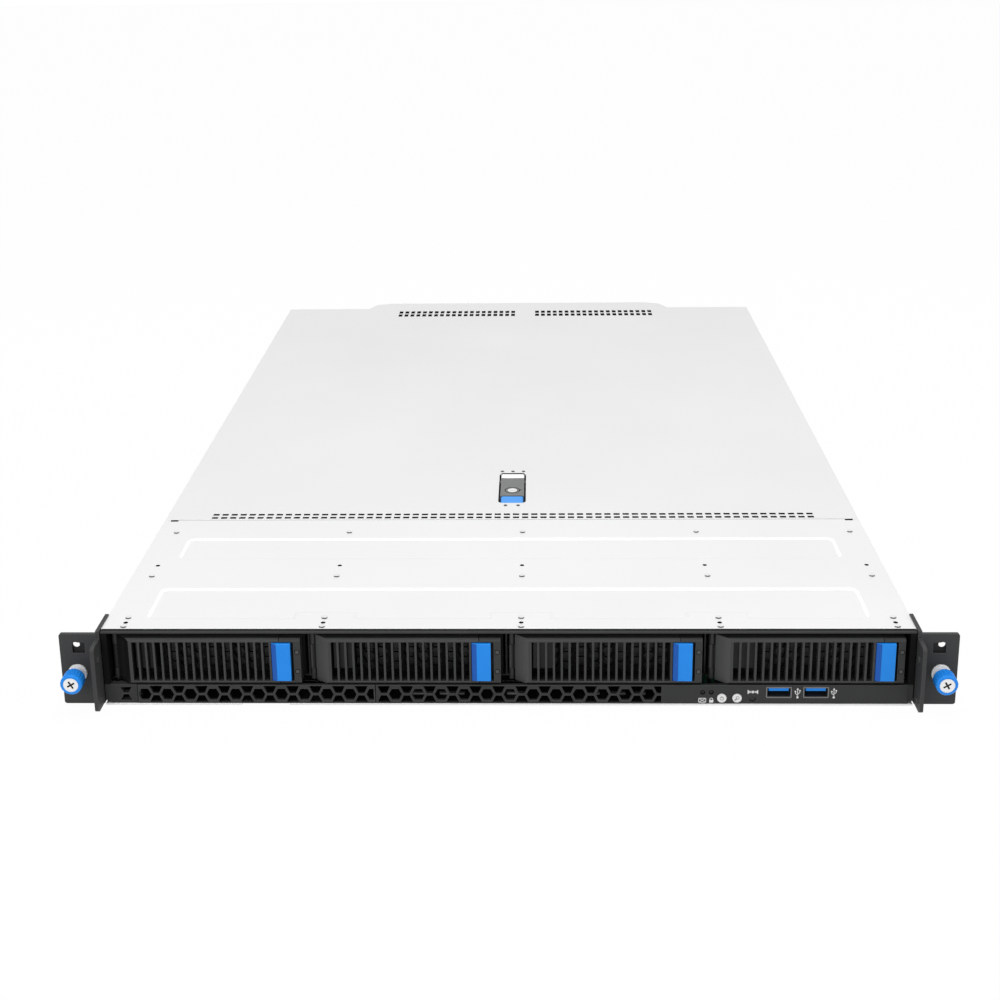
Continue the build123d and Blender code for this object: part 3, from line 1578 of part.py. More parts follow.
def power_backplane():
    """Upright board that the two power supplies plug into."""
    with BuildPart() as board:
        front = psu_front - board_sheet - connector_gap - psu_connector_depth
        with BuildSketch(facing(front)):
            with Locations((psu_left + psu_pitch, (pan_sheet + psu_top) / 2)):
                Rectangle(2 * psu_width, psu_top - pan_sheet)
        extrude(amount=-board_sheet)
        with BuildSketch(facing(front + board_sheet)):
            for supply in range(psu_count):
                middle = psu_left + supply * psu_pitch + psu_width / 2
                with Locations((middle, psu_base + connector_height)):
                    Rectangle(connector_width, connector_height)
        extrude(amount=-psu_connector_depth)
    save(board, "power_backplane")


def power_supply(supply, name):
    """Hot-swap supply: closed case, pierced vent, sunk inlet with pins, and a pull handle."""
    left = psu_left + supply * psu_pitch
    inlet = (left + inlet_place, inlet_level)
    with BuildPart() as case:
        with BuildSketch(facing(psu_front)):
            with Locations((left + psu_width / 2, psu_base + psu_height / 2)):
                Rectangle(psu_width, psu_height)
        extrude(amount=-psu_length)
        with BuildSketch(facing(chassis_depth)):
            with Locations(inlet):
                Rectangle(inlet_flange_width, inlet_flange_height)
        extrude(amount=-inlet_flange)
        with BuildSketch(facing(chassis_depth + inlet_flange)) as mouth:
            with Locations(inlet):
                Rectangle(inlet_width, inlet_height)
            chamfer(mouth.vertices().group_by(Axis.Y)[-1], inlet_height / 4)
        extrude(amount=inlet_depth, mode=Mode.SUBTRACT)
        with BuildSketch(facing(chassis_depth + inlet_flange - inlet_depth)):
            with Locations(inlet):
                with Locations((-pin_spacing / 2, 0), (pin_spacing / 2, 0), (0, pin_rise)):
                    Rectangle(pin_width, pin_height)
        extrude(amount=-pin_length)
        with BuildSketch(Plane.YZ.offset(left + handle_place)) as loop:
            with Locations((chassis_depth + handle_reach / 2, (handle_base + handle_top) / 2)):
                Rectangle(handle_reach, handle_top - handle_base)
            fillet(loop.vertices().sort_by(Axis.X)[-2:], handle_grip)
            finger_depth = handle_reach - handle_grip
            finger_height = handle_top - handle_base - 2 * handle_grip
            with Locations((chassis_depth + finger_depth / 2, (handle_base + handle_top) / 2)):
                Rectangle(finger_depth, finger_height, mode=Mode.SUBTRACT)
        extrude(amount=handle_width)
        with BuildSketch(facing(chassis_depth)):
            with Locations((left + psu_vent_place, psu_base + psu_height / 2)):
                for column in range(psu_vent_columns):
                    across = (column - (psu_vent_columns - 1) / 2) * vent_hex_column
                    for row in range(psu_vent_rows):
                        up = (row - (psu_vent_rows - 1) / 2 + (column % 2) / 2 - 0.25) * vent_hex_row
                        with Locations((across, up)):
                            RegularPolygon(vent_hex_radius, 6)
        extrude(amount=psu_vent_depth, mode=Mode.SUBTRACT)
        with BuildSketch(facing(chassis_depth)):
            track = psu_latch_width + psu_latch_travel
            with Locations((left + psu_latch_left + track / 2, psu_latch_level)):
                Rectangle(track + 2 * running_gap, psu_latch_height + 2 * running_gap)
        extrude(amount=psu_latch_sunk + running_gap, mode=Mode.SUBTRACT)
    save(case, name)


def power_latch(supply, name):
    """Sprung catch of a power supply; its thumb rest slides sideways to let the supply out."""
    left = psu_left + supply * psu_pitch + psu_latch_left
    with BuildPart() as latch:
        with BuildSketch(facing(chassis_depth - psu_latch_sunk)):
            with Locations((left + psu_latch_width / 2, psu_latch_level)):
                Rectangle(psu_latch_width, psu_latch_height)
        extrude(amount=-(psu_latch_sunk + psu_latch_proud))
        with BuildSketch(facing(chassis_depth + psu_latch_proud)):
            with Locations((left + psu_latch_height / 2, psu_latch_level)):
                Rectangle(psu_latch_height, psu_latch_height)
        extrude(amount=-psu_latch_reach)
    save(latch, name)


base_pan()
rack_ear(-1, "left_rack_ear")
rack_ear(1, "right_rack_ear")
thumbscrew_collars()
for side, word in ((-1, "left"), (1, "right")):
    thumbscrew_knob(side, word + "_thumbscrew_knob")
    thumbscrew_screw(side, word + "_thumbscrew_screw")
drive_cage()
for bay, centre in enumerate(bay_centres, start=1):
    tray_frame(centre, "tray_frame_" + str(bay))
    tray_lever(centre, "tray_lever_" + str(bay))
    release_tab(centre, "release_tab_" + str(bay))
    hard_drive(centre, "hard_drive_" + str(bay))
drive_backplane()
optical_bay_filler()
control_fascia()
front_frame()
front_board()
usb_shells()
usb_tongues()
push_button(power_place, button_level, button_radius, -button_proud, "power_button")
push_button(locate_place, button_level, button_radius, -button_proud, "locate_button")
push_button(reset_place, reset_level, reset_radius, reset_sunk, "reset_button")
front_cover()
rear_cover()
latch_pocket()
latch_lever()
latch_tip()
lock_screw()
fan_bracket()
fan_frames()
for fan, centre in enumerate(fan_centres, start=1):
    fan_rotor(centre, "fan_rotor_" + str(fan))
motherboard()
memory_modules()
processor_heatsink()
air_shroud()
riser_card()
expansion_slot_cover()
rear_panel()
rear_ports()
power_backplane()
for supply in range(psu_count):
    power_supply(supply, "power_supply_" + str(supply + 1))
    power_latch(supply, "power_latch_" + str(supply + 1))
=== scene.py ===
import math

import bpy
from mathutils import Matrix, Vector


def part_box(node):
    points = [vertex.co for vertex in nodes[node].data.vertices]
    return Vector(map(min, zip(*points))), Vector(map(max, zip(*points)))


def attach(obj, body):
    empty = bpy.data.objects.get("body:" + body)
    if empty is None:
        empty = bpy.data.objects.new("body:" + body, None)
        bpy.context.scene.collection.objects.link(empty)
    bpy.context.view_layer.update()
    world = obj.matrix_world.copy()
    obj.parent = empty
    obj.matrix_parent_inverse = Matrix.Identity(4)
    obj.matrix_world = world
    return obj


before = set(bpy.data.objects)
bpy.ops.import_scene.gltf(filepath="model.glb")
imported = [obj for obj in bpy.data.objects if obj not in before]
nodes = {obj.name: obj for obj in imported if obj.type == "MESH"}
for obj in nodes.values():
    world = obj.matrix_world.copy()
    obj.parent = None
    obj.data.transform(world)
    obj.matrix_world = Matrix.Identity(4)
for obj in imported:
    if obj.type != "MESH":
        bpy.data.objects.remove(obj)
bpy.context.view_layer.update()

bpy.ops.object.select_all(action="DESELECT")

# The camera stands in front of the server, a little off its middle, and looks down on it. Its
# place, turn and lens put the rack standard's sizes where the photograph has them. The lens is
# shifted down, as the ears lean in less than the look down on the cover would make them.
camera_place = Vector((0.01683, -0.70878, 0.41946))
camera_yaw = -0.02657
camera_pitch = 0.26451
camera_roll = -0.01288
camera_lens = 52.696
camera_shift = (0.00236, -0.19951)
camera_sensor = 36.0

look = Vector((
    math.sin(camera_yaw) * math.cos(camera_pitch),
    math.cos(camera_yaw) * math.cos(camera_pitch),
    -math.sin(camera_pitch),
))
level_right = Vector((math.cos(camera_yaw), -math.sin(camera_yaw), 0.0))
level_up = level_right.cross(look)
right = math.cos(camera_roll) * level_right + math.sin(camera_roll) * level_up
up = math.cos(camera_roll) * level_up - math.sin(camera_roll) * level_right
camera_data = bpy.data.cameras.new("camera")
camera_data.lens = camera_lens
camera_data.sensor_width = camera_sensor
camera_data.shift_x = camera_shift[0]
camera_data.shift_y = camera_shift[1]
camera_data.clip_start = 0.01
camera_data.clip_end = 50.0
camera = bpy.data.objects.new("camera", camera_data)
bpy.context.scene.collection.objects.link(camera)
camera.matrix_world = Matrix.Translation(camera_place) @ Matrix((right, up, -look)).transposed().to_4x4()
bpy.context.scene.camera = camera
bpy.context.scene.view_settings.view_transform = "Standard"

# The studio: a white room, a pale table top at the height of the chassis's underside, a wide
# soft light overhead, a lower one from the front left and a narrow one from the right.
table_size = 12.0
table_drop = 0.0005
table_shade = 0.86
table_glow_share = 0.97
room_fill = 0.55
white_light = (1.0, 1.0, 1.0, 1.0)


def soft_light(name, place, aim, width, height, power):
    light = bpy.data.lights.new(name, "AREA")
    light.shape = "RECTANGLE"
    light.size = width
    light.size_y = height
    light.energy = power
    lamp = bpy.data.objects.new(name, light)
    bpy.context.scene.collection.objects.link(lamp)
    lamp.location = place
    lamp.rotation_euler = (Vector(aim) - Vector(place)).to_track_quat("-Z", "Y").to_euler()


soft_light("overhead_light", (-0.05, -0.05, 1.5), (-0.02, 0.0, 0.0), 0.9, 0.8, 10.5)
soft_light("front_light", (-0.7, -1.6, 0.9), (0.0, 0.1, 0.0), 1.0, 0.8, 10.0)
soft_light("side_light", (1.5, -0.2, 0.8), (0.1, 0.2, 0.0), 0.5, 1.2, 5.0)


def seen_directly(tree):
    """One for a ray that comes from the camera, off a mirror or through glass, else none."""
    path = tree.nodes.new("ShaderNodeLightPath")
    seen = path.outputs["Is Camera Ray"]
    for other in ("Is Glossy Ray", "Is Transmission Ray"):
        either = tree.nodes.new("ShaderNodeMath")
        either.operation = "MAXIMUM"
        tree.links.new(seen, either.inputs[0])
        tree.links.new(path.outputs[other], either.inputs[1])
        seen = either.outputs[0]
    return seen


world = bpy.data.worlds.new("white_room")
bpy.context.scene.world = world
world.use_nodes = True
world_nodes = world.node_tree.nodes
world_links = world.node_tree.links
world_nodes.clear()
world_output = world_nodes.new("ShaderNodeOutputWorld")
room_mix = world_nodes.new("ShaderNodeMixShader")
world_links.new(seen_directly(world.node_tree), room_mix.inputs[0])
for socket, strength in ((1, room_fill), (2, 1.0)):
    room = world_nodes.new("ShaderNodeBackground")
    room.inputs["Color"].default_value = white_light
    room.inputs["Strength"].default_value = strength
    world_links.new(room.outputs[0], room_mix.inputs[socket])
world_links.new(room_mix.outputs[0], world_output.inputs["Surface"])

bpy.ops.mesh.primitive_plane_add(size=table_size, location=(0.0, 0.0, -table_drop))
table_top = bpy.context.object
table_top.name = "table_top"
table_material = bpy.data.materials.new("table_top")
table_material.use_nodes = True
table_nodes = table_material.node_tree.nodes
table_links = table_material.node_tree.links
table_nodes.clear()
table_output = table_nodes.new("ShaderNodeOutputMaterial")
table_paint = table_nodes.new("ShaderNodeBsdfDiffuse")
table_glow = table_nodes.new("ShaderNodeEmission")
table_mix = table_nodes.new("ShaderNodeMixShader")
table_share = table_nodes.new("ShaderNodeMath")
table_share.operation = "MULTIPLY"
table_share.inputs[1].default_value = table_glow_share
table_paint.inputs["Color"].default_value = (table_shade, table_shade, table_shade, 1.0)
table_glow.inputs["Color"].default_value = white_light
table_links.new(seen_directly(table_material.node_tree), table_share.inputs[0])
table_links.new(table_share.outputs[0], table_mix.inputs[0])
table_links.new(table_paint.outputs[0], table_mix.inputs[1])
table_links.new(table_glow.outputs[0], table_mix.inputs[2])
table_links.new(table_mix.outputs[0], table_output.inputs["Surface"])
table_top.data.materials.append(table_material)

# The top covers, the base pan and the rear panel are folded from galvanised sheet: a pale, soft
# satin metal with a very fine grain, brighter where a cut or folded edge catches the light.


def edge_glint_group():
    """Mask of the thin bright line along a corner, from a rounded corner's normal."""
    group = bpy.data.node_groups.new("edge_glint", "ShaderNodeTree")
    group.interface.new_socket("Radius", in_out="INPUT", socket_type="NodeSocketFloat")
    group.interface.new_socket("Mask", in_out="OUTPUT", socket_type="NodeSocketFloat")
    group.interface.new_socket("Normal", in_out="OUTPUT", socket_type="NodeSocketVector")
    entry = group.nodes.new("NodeGroupInput")
    leave = group.nodes.new("NodeGroupOutput")
    bevel = group.nodes.new("ShaderNodeBevel")
    bevel.samples = 6
    true_normal = group.nodes.new("ShaderNodeNewGeometry")
    turn = group.nodes.new("ShaderNodeVectorMath")
    turn.operation = "DOT_PRODUCT"
    spread = group.nodes.new("ShaderNodeMapRange")
    spread.inputs["From Min"].default_value = 0.995
    spread.inputs["From Max"].default_value = 0.80
    group.links.new(entry.outputs["Radius"], bevel.inputs["Radius"])
    group.links.new(bevel.outputs["Normal"], turn.inputs[0])
    group.links.new(true_normal.outputs["Normal"], turn.inputs[1])
    group.links.new(turn.outputs["Value"], spread.inputs["Value"])
    group.links.new(spread.outputs["Result"], leave.inputs["Mask"])
    group.links.new(bevel.outputs["Normal"], leave.inputs["Normal"])
    return group


def grain_group():
    """Fine grain and a wide slow cloud: a height for bump and gloss, and a small tone change."""
    group = bpy.data.node_groups.new("surface_grain", "ShaderNodeTree")
    for name in ("Grain Scale", "Cloud Scale"):
        group.interface.new_socket(name, in_out="INPUT", socket_type="NodeSocketFloat")
    for name in ("Height", "Cloud"):
        group.interface.new_socket(name, in_out="OUTPUT", socket_type="NodeSocketFloat")
    entry = group.nodes.new("NodeGroupInput")
    leave = group.nodes.new("NodeGroupOutput")
    place = group.nodes.new("ShaderNodeTexCoord")
    grain = group.nodes.new("ShaderNodeTexNoise")
    cloud = group.nodes.new("ShaderNodeTexNoise")
    grain.inputs["Detail"].default_value = 4.0
    cloud.inputs["Detail"].default_value = 2.0
    for texture in (grain, cloud):
        group.links.new(place.outputs["Object"], texture.inputs["Vector"])
    group.links.new(entry.outputs["Grain Scale"], grain.inputs["Scale"])
    group.links.new(entry.outputs["Cloud Scale"], cloud.inputs["Scale"])
    group.links.new(grain.outputs["Fac"], leave.inputs["Height"])
    group.links.new(cloud.outputs["Fac"], leave.inputs["Cloud"])
    return group


edge_glint = edge_glint_group()
surface_grain = grain_group()


def made_material(
    name, dark, light, edge, metallic, gloss_low, gloss_high,
    grain_scale, grain_height, cloud_scale, corner, specular=0.5, coat=0.0,
):
    """A finish of two close tones and an edge tone painted along corners, a painted highlight where it is
    lighter and painted shade where it is darker; like finishes share one tuple of the rest.
    """
    material = bpy.data.materials.new(name)
    material.use_nodes = True
    tree = material.node_tree
    tree.nodes.clear()
    output = tree.nodes.new("ShaderNodeOutputMaterial")
    surface = tree.nodes.new("ShaderNodeBsdfPrincipled")
    surface.inputs["Metallic"].default_value = metallic
    surface.inputs["Specular IOR Level"].default_value = specular
    surface.inputs["Coat Weight"].default_value = coat
    grain = tree.nodes.new("ShaderNodeGroup")
    grain.node_tree = surface_grain
    grain.inputs["Grain Scale"].default_value = grain_scale
    grain.inputs["Cloud Scale"].default_value = cloud_scale
    glint = tree.nodes.new("ShaderNodeGroup")
    glint.node_tree = edge_glint
    glint.inputs["Radius"].default_value = corner
    tone = tree.nodes.new("ShaderNodeMix")
    tone.data_type = "RGBA"
    tone.inputs["A"].default_value = (*dark, 1.0)
    tone.inputs["B"].default_value = (*light, 1.0)
    edged = tree.nodes.new("ShaderNodeMix")
    edged.data_type = "RGBA"
    edged.inputs["B"].default_value = (*edge, 1.0)
    gloss = tree.nodes.new("ShaderNodeMapRange")
    gloss.inputs["From Min"].default_value = 0.3
    gloss.inputs["From Max"].default_value = 0.7
    gloss.inputs["To Min"].default_value = gloss_low
    gloss.inputs["To Max"].default_value = gloss_high
    bump = tree.nodes.new("ShaderNodeBump")
    bump.inputs["Distance"].default_value = grain_height
    bump.inputs["Strength"].default_value = 0.6
    tree.links.new(grain.outputs["Cloud"], tone.inputs["Factor"])
    tree.links.new(tone.outputs["Result"], edged.inputs["A"])
    tree.links.new(glint.outputs["Mask"], edged.inputs["Factor"])
    tree.links.new(edged.outputs["Result"], surface.inputs["Base Color"])
    tree.links.new(grain.outputs["Height"], gloss.inputs["Value"])
    tree.links.new(gloss.outputs["Result"], surface.inputs["Roughness"])
    tree.links.new(grain.outputs["Height"], bump.inputs["Height"])
    tree.links.new(glint.outputs["Normal"], bump.inputs["Normal"])
    tree.links.new(bump.outputs["Normal"], surface.inputs["Normal"])
    tree.links.new(surface.outputs["BSDF"], output.inputs["Surface"])
    return material


def dress(material, *names):
    """Gives CAD nodes their finish."""
    for name in names:
        mesh = nodes[name].data
        mesh.materials.clear()
        mesh.materials.append(material)


def twin(material, name):
    """A second material with the same finish, for nodes where a part of it differs."""
    second = material.copy()
    second.name = name
    return second


sheet_edge = (0.95, 0.95, 0.95)
sheet_feel = (0.55, 0.42, 0.52, 1800.0, 0.00002, 9.0, 0.0004)
galvanised = made_material(
    "galvanised_sheet", (0.75, 0.755, 0.75), (0.80, 0.805, 0.80), sheet_edge, *sheet_feel,
)
dress(galvanised, "base_pan", "rear_panel")

# Where one node shows several finishes, or painted shade and painted highlight, its material changes
# inside a box, or on the faces that look one way. The mix node keeps its two inputs and its result at
# these sockets.
mix_sockets = {"RGBA": (6, 7, 2), "FLOAT": (2, 3, 0)}


def recoloured(material, low, high, colour, metallic, roughness):
    """Gives the part of a node inside a box, in metres, another colour and gloss: in some places the finish
    of what is mounted there, in the others painted shade and painted highlight.
    """
    tree = material.node_tree
    surface = tree.nodes["Principled BSDF"]
    middle = [(a + b) / 2 for a, b in zip(low, high)]
    reach = [(b - a) / 2 for a, b in zip(low, high)]
    place = tree.nodes.new("ShaderNodeTexCoord")
    away = tree.nodes.new("ShaderNodeVectorMath")
    away.operation = "SUBTRACT"
    away.inputs[1].default_value = middle
    far = tree.nodes.new("ShaderNodeVectorMath")
    far.operation = "ABSOLUTE"
    past = tree.nodes.new("ShaderNodeVectorMath")
    past.operation = "SUBTRACT"
    past.inputs[1].default_value = reach
    split = tree.nodes.new("ShaderNodeSeparateXYZ")
    most = tree.nodes.new("ShaderNodeMath")
    most.operation = "MAXIMUM"
    most_of_all = tree.nodes.new("ShaderNodeMath")
    most_of_all.operation = "MAXIMUM"
    within = tree.nodes.new("ShaderNodeMath")
    within.operation = "LESS_THAN"
    within.inputs[1].default_value = 0.0
    tree.links.new(place.outputs["Object"], away.inputs[0])
    tree.links.new(away.outputs[0], far.inputs[0])
    tree.links.new(far.outputs[0], past.inputs[0])
    tree.links.new(past.outputs[0], split.inputs[0])
    tree.links.new(split.outputs["X"], most.inputs[0])
    tree.links.new(split.outputs["Y"], most.inputs[1])
    tree.links.new(most.outputs[0], most_of_all.inputs[0])
    tree.links.new(split.outputs["Z"], most_of_all.inputs[1])
    tree.links.new(most_of_all.outputs[0], within.inputs[0])
    finishes = (
        ("Base Color", "RGBA", (*colour, 1.0)),
        ("Metallic", "FLOAT", metallic),
        ("Roughness", "FLOAT", roughness),
    )
    for socket, kind, value in finishes:
        change = tree.nodes.new("ShaderNodeMix")
        change.data_type = kind
        old_socket, new_socket, result_socket = mix_sockets[kind]
        change.inputs[new_socket].default_value = value
        target = surface.inputs[socket]
        if target.is_linked:
            tree.links.new(target.links[0].from_socket, change.inputs[old_socket])
        else:
            change.inputs[old_socket].default_value = target.default_value
        tree.links.new(within.outputs[0], change.inputs[0])
        tree.links.new(change.outputs[result_socket], target)


def painted_side_shade_and_light(material, direction, threshold, colour):
    """Paints the faces that look a given way, in the object's own axes, another tone: painted shade where
    it is darker, a painted highlight where it is lighter.
    """
    tree = material.node_tree
    surface = tree.nodes["Principled BSDF"]
    place = tree.nodes.new("ShaderNodeTexCoord")
    toward = tree.nodes.new("ShaderNodeVectorMath")
    toward.operation = "DOT_PRODUCT"
    toward.inputs[1].default_value = direction
    beyond = tree.nodes.new("ShaderNodeMath")
    beyond.operation = "GREATER_THAN"
    beyond.inputs[1].default_value = threshold
    change = tree.nodes.new("ShaderNodeMix")
    change.data_type = "RGBA"
    old_socket, new_socket, result_socket = mix_sockets["RGBA"]
    change.inputs[new_socket].default_value = (*colour, 1.0)
    target = surface.inputs["Base Color"]
    tree.links.new(place.outputs["Normal"], toward.inputs[0])
    tree.links.new(toward.outputs["Value"], beyond.inputs[0])
    tree.links.new(beyond.outputs[0], change.inputs[0])
    tree.links.new(target.links[0].from_socket, change.inputs[old_socket])
    tree.links.new(change.outputs[result_socket], target)


# The front cover is the same sheet, a shade paler. The sloping ends of its sunk panels are painted
# white, a painted highlight, and the walls of its holes and its rear edge are painted dark, a
# painted shadow.
below_face = 0.04344
cut_floor = 0.0415
cut_reach = 0.216
panel_end = 0.1981
panel_slope = 0.0020
panel_front = 0.0150
panel_rear = 0.1215
hole_bands = ((0.0090, 0.0136), (0.0802, 0.0848), (0.1480, 0.1490))
shadow = (0.006, 0.006, 0.006)
front_sheet = made_material(
    "front_cover_sheet", (0.77, 0.775, 0.77), (0.82, 0.825, 0.82), sheet_edge, *sheet_feel,
)
for side in (-1, 1):
    ends = sorted((side * panel_end, side * (panel_end - panel_slope)))
    recoloured(
        front_sheet, (ends[0], panel_front, cut_floor), (ends[1], panel_rear, below_face),
        (1.0, 1.0, 1.0), 0.2, 0.5,
    )
for start, end in hole_bands:
    recoloured(
        front_sheet, (-cut_reach, start, cut_floor), (cut_reach, end, below_face), shadow, 0.0, 0.8,
    )
dress(front_sheet, "front_cover")

# The sliding cover has the pan's tones. The cut walls of its slots and vents, its front edge and
# the latch's cut-out lie in shadow.
slide_sheet = twin(galvanised, "sliding_cover_sheet")
cut_bands = (
    (-cut_reach, 0.1485, cut_reach, 0.1602),
    (-0.120, 0.6200, 0.133, 0.6435),
    (-0.009, 0.2266, 0.011, 0.2276),
)
for low_x, low_y, high_x, high_y in cut_bands:
    recoloured(
        slide_sheet, (low_x, low_y, cut_floor), (high_x, high_y, below_face), shadow, 0.0, 0.8,
    )
dress(slide_sheet, "rear_cover")

# The fan bracket, the latch's pocket and the drive cage are plain galvanised sheet, a shade darker.
# The pocket's hollow is painted dark, a painted shadow, and the cage is painted near black where it
# shows between the trays, a painted shade.
margin = 0.01
inner_light = (0.58, 0.585, 0.59)
inner_edge = (0.8, 0.8, 0.8)
inner_feel = (0.75, 0.32, 0.48, 1400.0, 0.00002, 22.0, 0.0003)
inner_sheet = made_material(
    "inner_galvanised_sheet", (0.48, 0.485, 0.49), inner_light, inner_edge, *inner_feel,
)
dress(inner_sheet, "fan_bracket")
pocket_sheet = twin(inner_sheet, "latch_pocket_sheet")
pocket_low, pocket_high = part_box("latch_pocket")
pocket_flange = 0.0041
pocket_floor = 0.0006
pocket_rise = 0.001
recoloured(
    pocket_sheet,
    (pocket_low.x + pocket_flange, pocket_low.y + pocket_flange, pocket_low.z + pocket_floor),
    (pocket_high.x - pocket_flange, pocket_high.y - pocket_flange, pocket_high.z + pocket_rise),
    (0.035, 0.035, 0.036), 0.0, 0.6,
)
dress(pocket_sheet, "latch_pocket")
cage_sheet = twin(inner_sheet, "drive_cage_sheet")
cage_low, cage_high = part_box("drive_cage")
cage_shade_depth = 0.018
recoloured(
    cage_sheet, (cage_low.x - margin, cage_low.y - margin, cage_low.z - margin),
    (cage_high.x + margin, cage_low.y + cage_shade_depth, cage_high.z + margin), (0.02, 0.02, 0.02), 0.0, 0.55,
)
dress(cage_sheet, "drive_cage")

# The rack ears, the front frame and the control fascia are steel with a fine black powder coat.
# Their outer corners are painted grey, a painted highlight, which draws each plate's outline.
powder_feel = (0.0, 0.50, 0.66, 2600.0, 0.00005, 30.0, 0.00035)
black_paint = made_material(
    "black_powder_coat", (0.019, 0.020, 0.020), (0.025, 0.026, 0.026), (0.10, 0.10, 0.10),
    *powder_feel, 0.3,
)
dress(black_paint, "control_fascia")
ear_paint = made_material(
    "rack_ear_powder_coat", (0.030, 0.031, 0.031), (0.038, 0.039, 0.039), (0.11, 0.11, 0.11),
    *powder_feel, 0.3,
)
window_middle = 0.23095
window_reach = 0.0055
window_front = 0.0003
window_rear = 0.0030
window_sill = 0.0285
window_top = 0.0395
# The ears' windows are painted dark inside, a painted shadow in their recess.
for side in (-1, 1):
    recoloured(
        ear_paint, (side * window_middle - window_reach, window_front, window_sill),
        (side * window_middle + window_reach, window_rear, window_top), shadow, 0.0, 0.6,
    )
dress(ear_paint, "left_rack_ear", "right_rack_ear")
frame_paint = made_material(
    "front_frame_powder_coat", (0.038, 0.039, 0.039), (0.046, 0.047, 0.047), (0.12, 0.12, 0.12),
    *powder_feel, 0.04,
)
frame_low, frame_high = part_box("front_frame")
lip_line = 0.0009
lip_height = 0.0032
lip_overlap = 0.0001
top_line = 0.0016
slim_bay_top = 0.0122
jamb_start = 0.2108
jamb_reach = 0.02
frame_front = frame_low.y - 0.001
frame_gloss = 0.62
# The lip's front face below its top line is painted dark, a painted shadow, and the frame's top behind its
# front edge and the jambs beside the trays are painted near black, a painted shade.
recoloured(
    frame_paint, (frame_low.x - margin, frame_front, frame_high.z - lip_height),
    (frame_high.x + margin, frame_high.y + margin, frame_high.z - lip_line), shadow, 0.0, frame_gloss,
)
recoloured(
    frame_paint, (frame_low.x - margin, frame_low.y + top_line, frame_high.z - lip_line - lip_overlap),
    (frame_high.x + margin, frame_high.y + margin, frame_high.z + margin),
    (0.010, 0.010, 0.010), 0.0, frame_gloss,
)
for side in (-1, 1):
    ends = sorted((side * jamb_start, side * (jamb_start + jamb_reach)))
    recoloured(
        frame_paint, (ends[0], frame_front, slim_bay_top),
        (ends[1], frame_high.y + margin, frame_high.z - lip_line), (0.008, 0.008, 0.008), 0.0, frame_gloss,
    )
dress(frame_paint, "front_frame")

# The drive trays, their levers, the bay filler, the air shroud and the reset button are moulded in
# black plastic with a fine spark grain. Behind their faces the trays and levers are painted near
# black, a painted shade.
past_sides = 0.3
moulding_grain = (3200.0, 0.00003, 40.0, 0.0003, 0.3)
black_plastic = made_material(
    "black_moulding", (0.022, 0.023, 0.023), (0.028, 0.029, 0.029), (0.095, 0.095, 0.095),
    0.0, 0.44, 0.58, *moulding_grain,
)
dress(black_plastic, "optical_bay_filler", "air_shroud", "reset_button")
carrier_plastic = twin(black_plastic, "carrier_moulding")
tray_low, tray_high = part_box("tray_frame_1")
bezel_depth = 0.0095
recoloured(
    carrier_plastic, (-past_sides, tray_low.y + bezel_depth, tray_low.z - margin),
    (past_sides, tray_high.y + margin, tray_high.z + margin), (0.003, 0.003, 0.003), 0.0, 0.8,
)
lever_plastic = made_material(
    "lever_moulding", (0.030, 0.031, 0.031), (0.038, 0.039, 0.039), (0.11, 0.11, 0.11),
    0.0, 0.42, 0.56, *moulding_grain,
)
lever_low, lever_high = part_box("tray_lever_1")
lever_inset = 0.0022
window_margin = 0.0019
recoloured(
    lever_plastic, (-past_sides, lever_low.y + lever_inset, lever_low.z + window_margin),
    (past_sides, lever_high.y + margin, lever_high.z - window_margin), (0.010, 0.010, 0.010), 0.0, 0.65,
)
end_lever_painted_shade = twin(lever_plastic, "end_lever_moulding_painted_shade")
# Bay 1's lever is a copy whose left-facing bevels are painted near black, a painted shade beside the ear's
# flange; on the other levers they are painted paler, a painted highlight.
toward_left = (-1.0, 0.0, 0.0)
bevel_slant = 0.15
painted_side_shade_and_light(lever_plastic, toward_left, bevel_slant, (0.055, 0.056, 0.056))
painted_side_shade_and_light(end_lever_painted_shade, toward_left, bevel_slant, (0.004, 0.004, 0.004))
for bay in range(1, 5):
    dress(carrier_plastic, "tray_frame_%d" % bay)
    dress(end_lever_painted_shade if bay == 1 else lever_plastic, "tray_lever_%d" % bay)

# What a hand moves is blue: the trays' tabs, the screws' knobs, the latch's tip and the power
# supplies' catches, all moulded with a low satin gloss. The front ports' tongues are blue too.
blue_feel = (0.0, 0.42, 0.55, 2600.0, 0.00002, 60.0, 0.0003, 0.25)
touch_blue = made_material(
    "touch_point_blue", (0.006, 0.200, 0.70), (0.010, 0.245, 0.80), (0.07, 0.40, 0.9), *blue_feel,
)
dress(touch_blue, "usb_tongues", "power_latch_1", "power_latch_2")
dress(touch_blue, "left_thumbscrew_knob", "right_thumbscrew_knob")
tip_blue = made_material(
    "latch_tip_blue", (0.06, 0.30, 0.80), (0.08, 0.34, 0.84), (0.012, 0.20, 0.68), *blue_feel,
)
# The tip's corners and its faces that look up toward the front are painted a deeper blue, a painted shade.
painted_side_shade_and_light(tip_blue, (0.0, -0.707, 0.707), 0.80, (0.010, 0.16, 0.62))
dress(tip_blue, "latch_tip")
tab_blue = made_material(
    "release_tab_blue", (0.008, 0.215, 0.72), (0.012, 0.255, 0.81), (0.07, 0.40, 0.9), *blue_feel,
)
# The tabs' left-facing slants are painted a deeper blue, a painted shade.
painted_side_shade_and_light(tab_blue, toward_left, 0.2, (0.004, 0.085, 0.40))
for bay in range(1, 5):
    dress(tab_blue, "release_tab_%d" % bay)

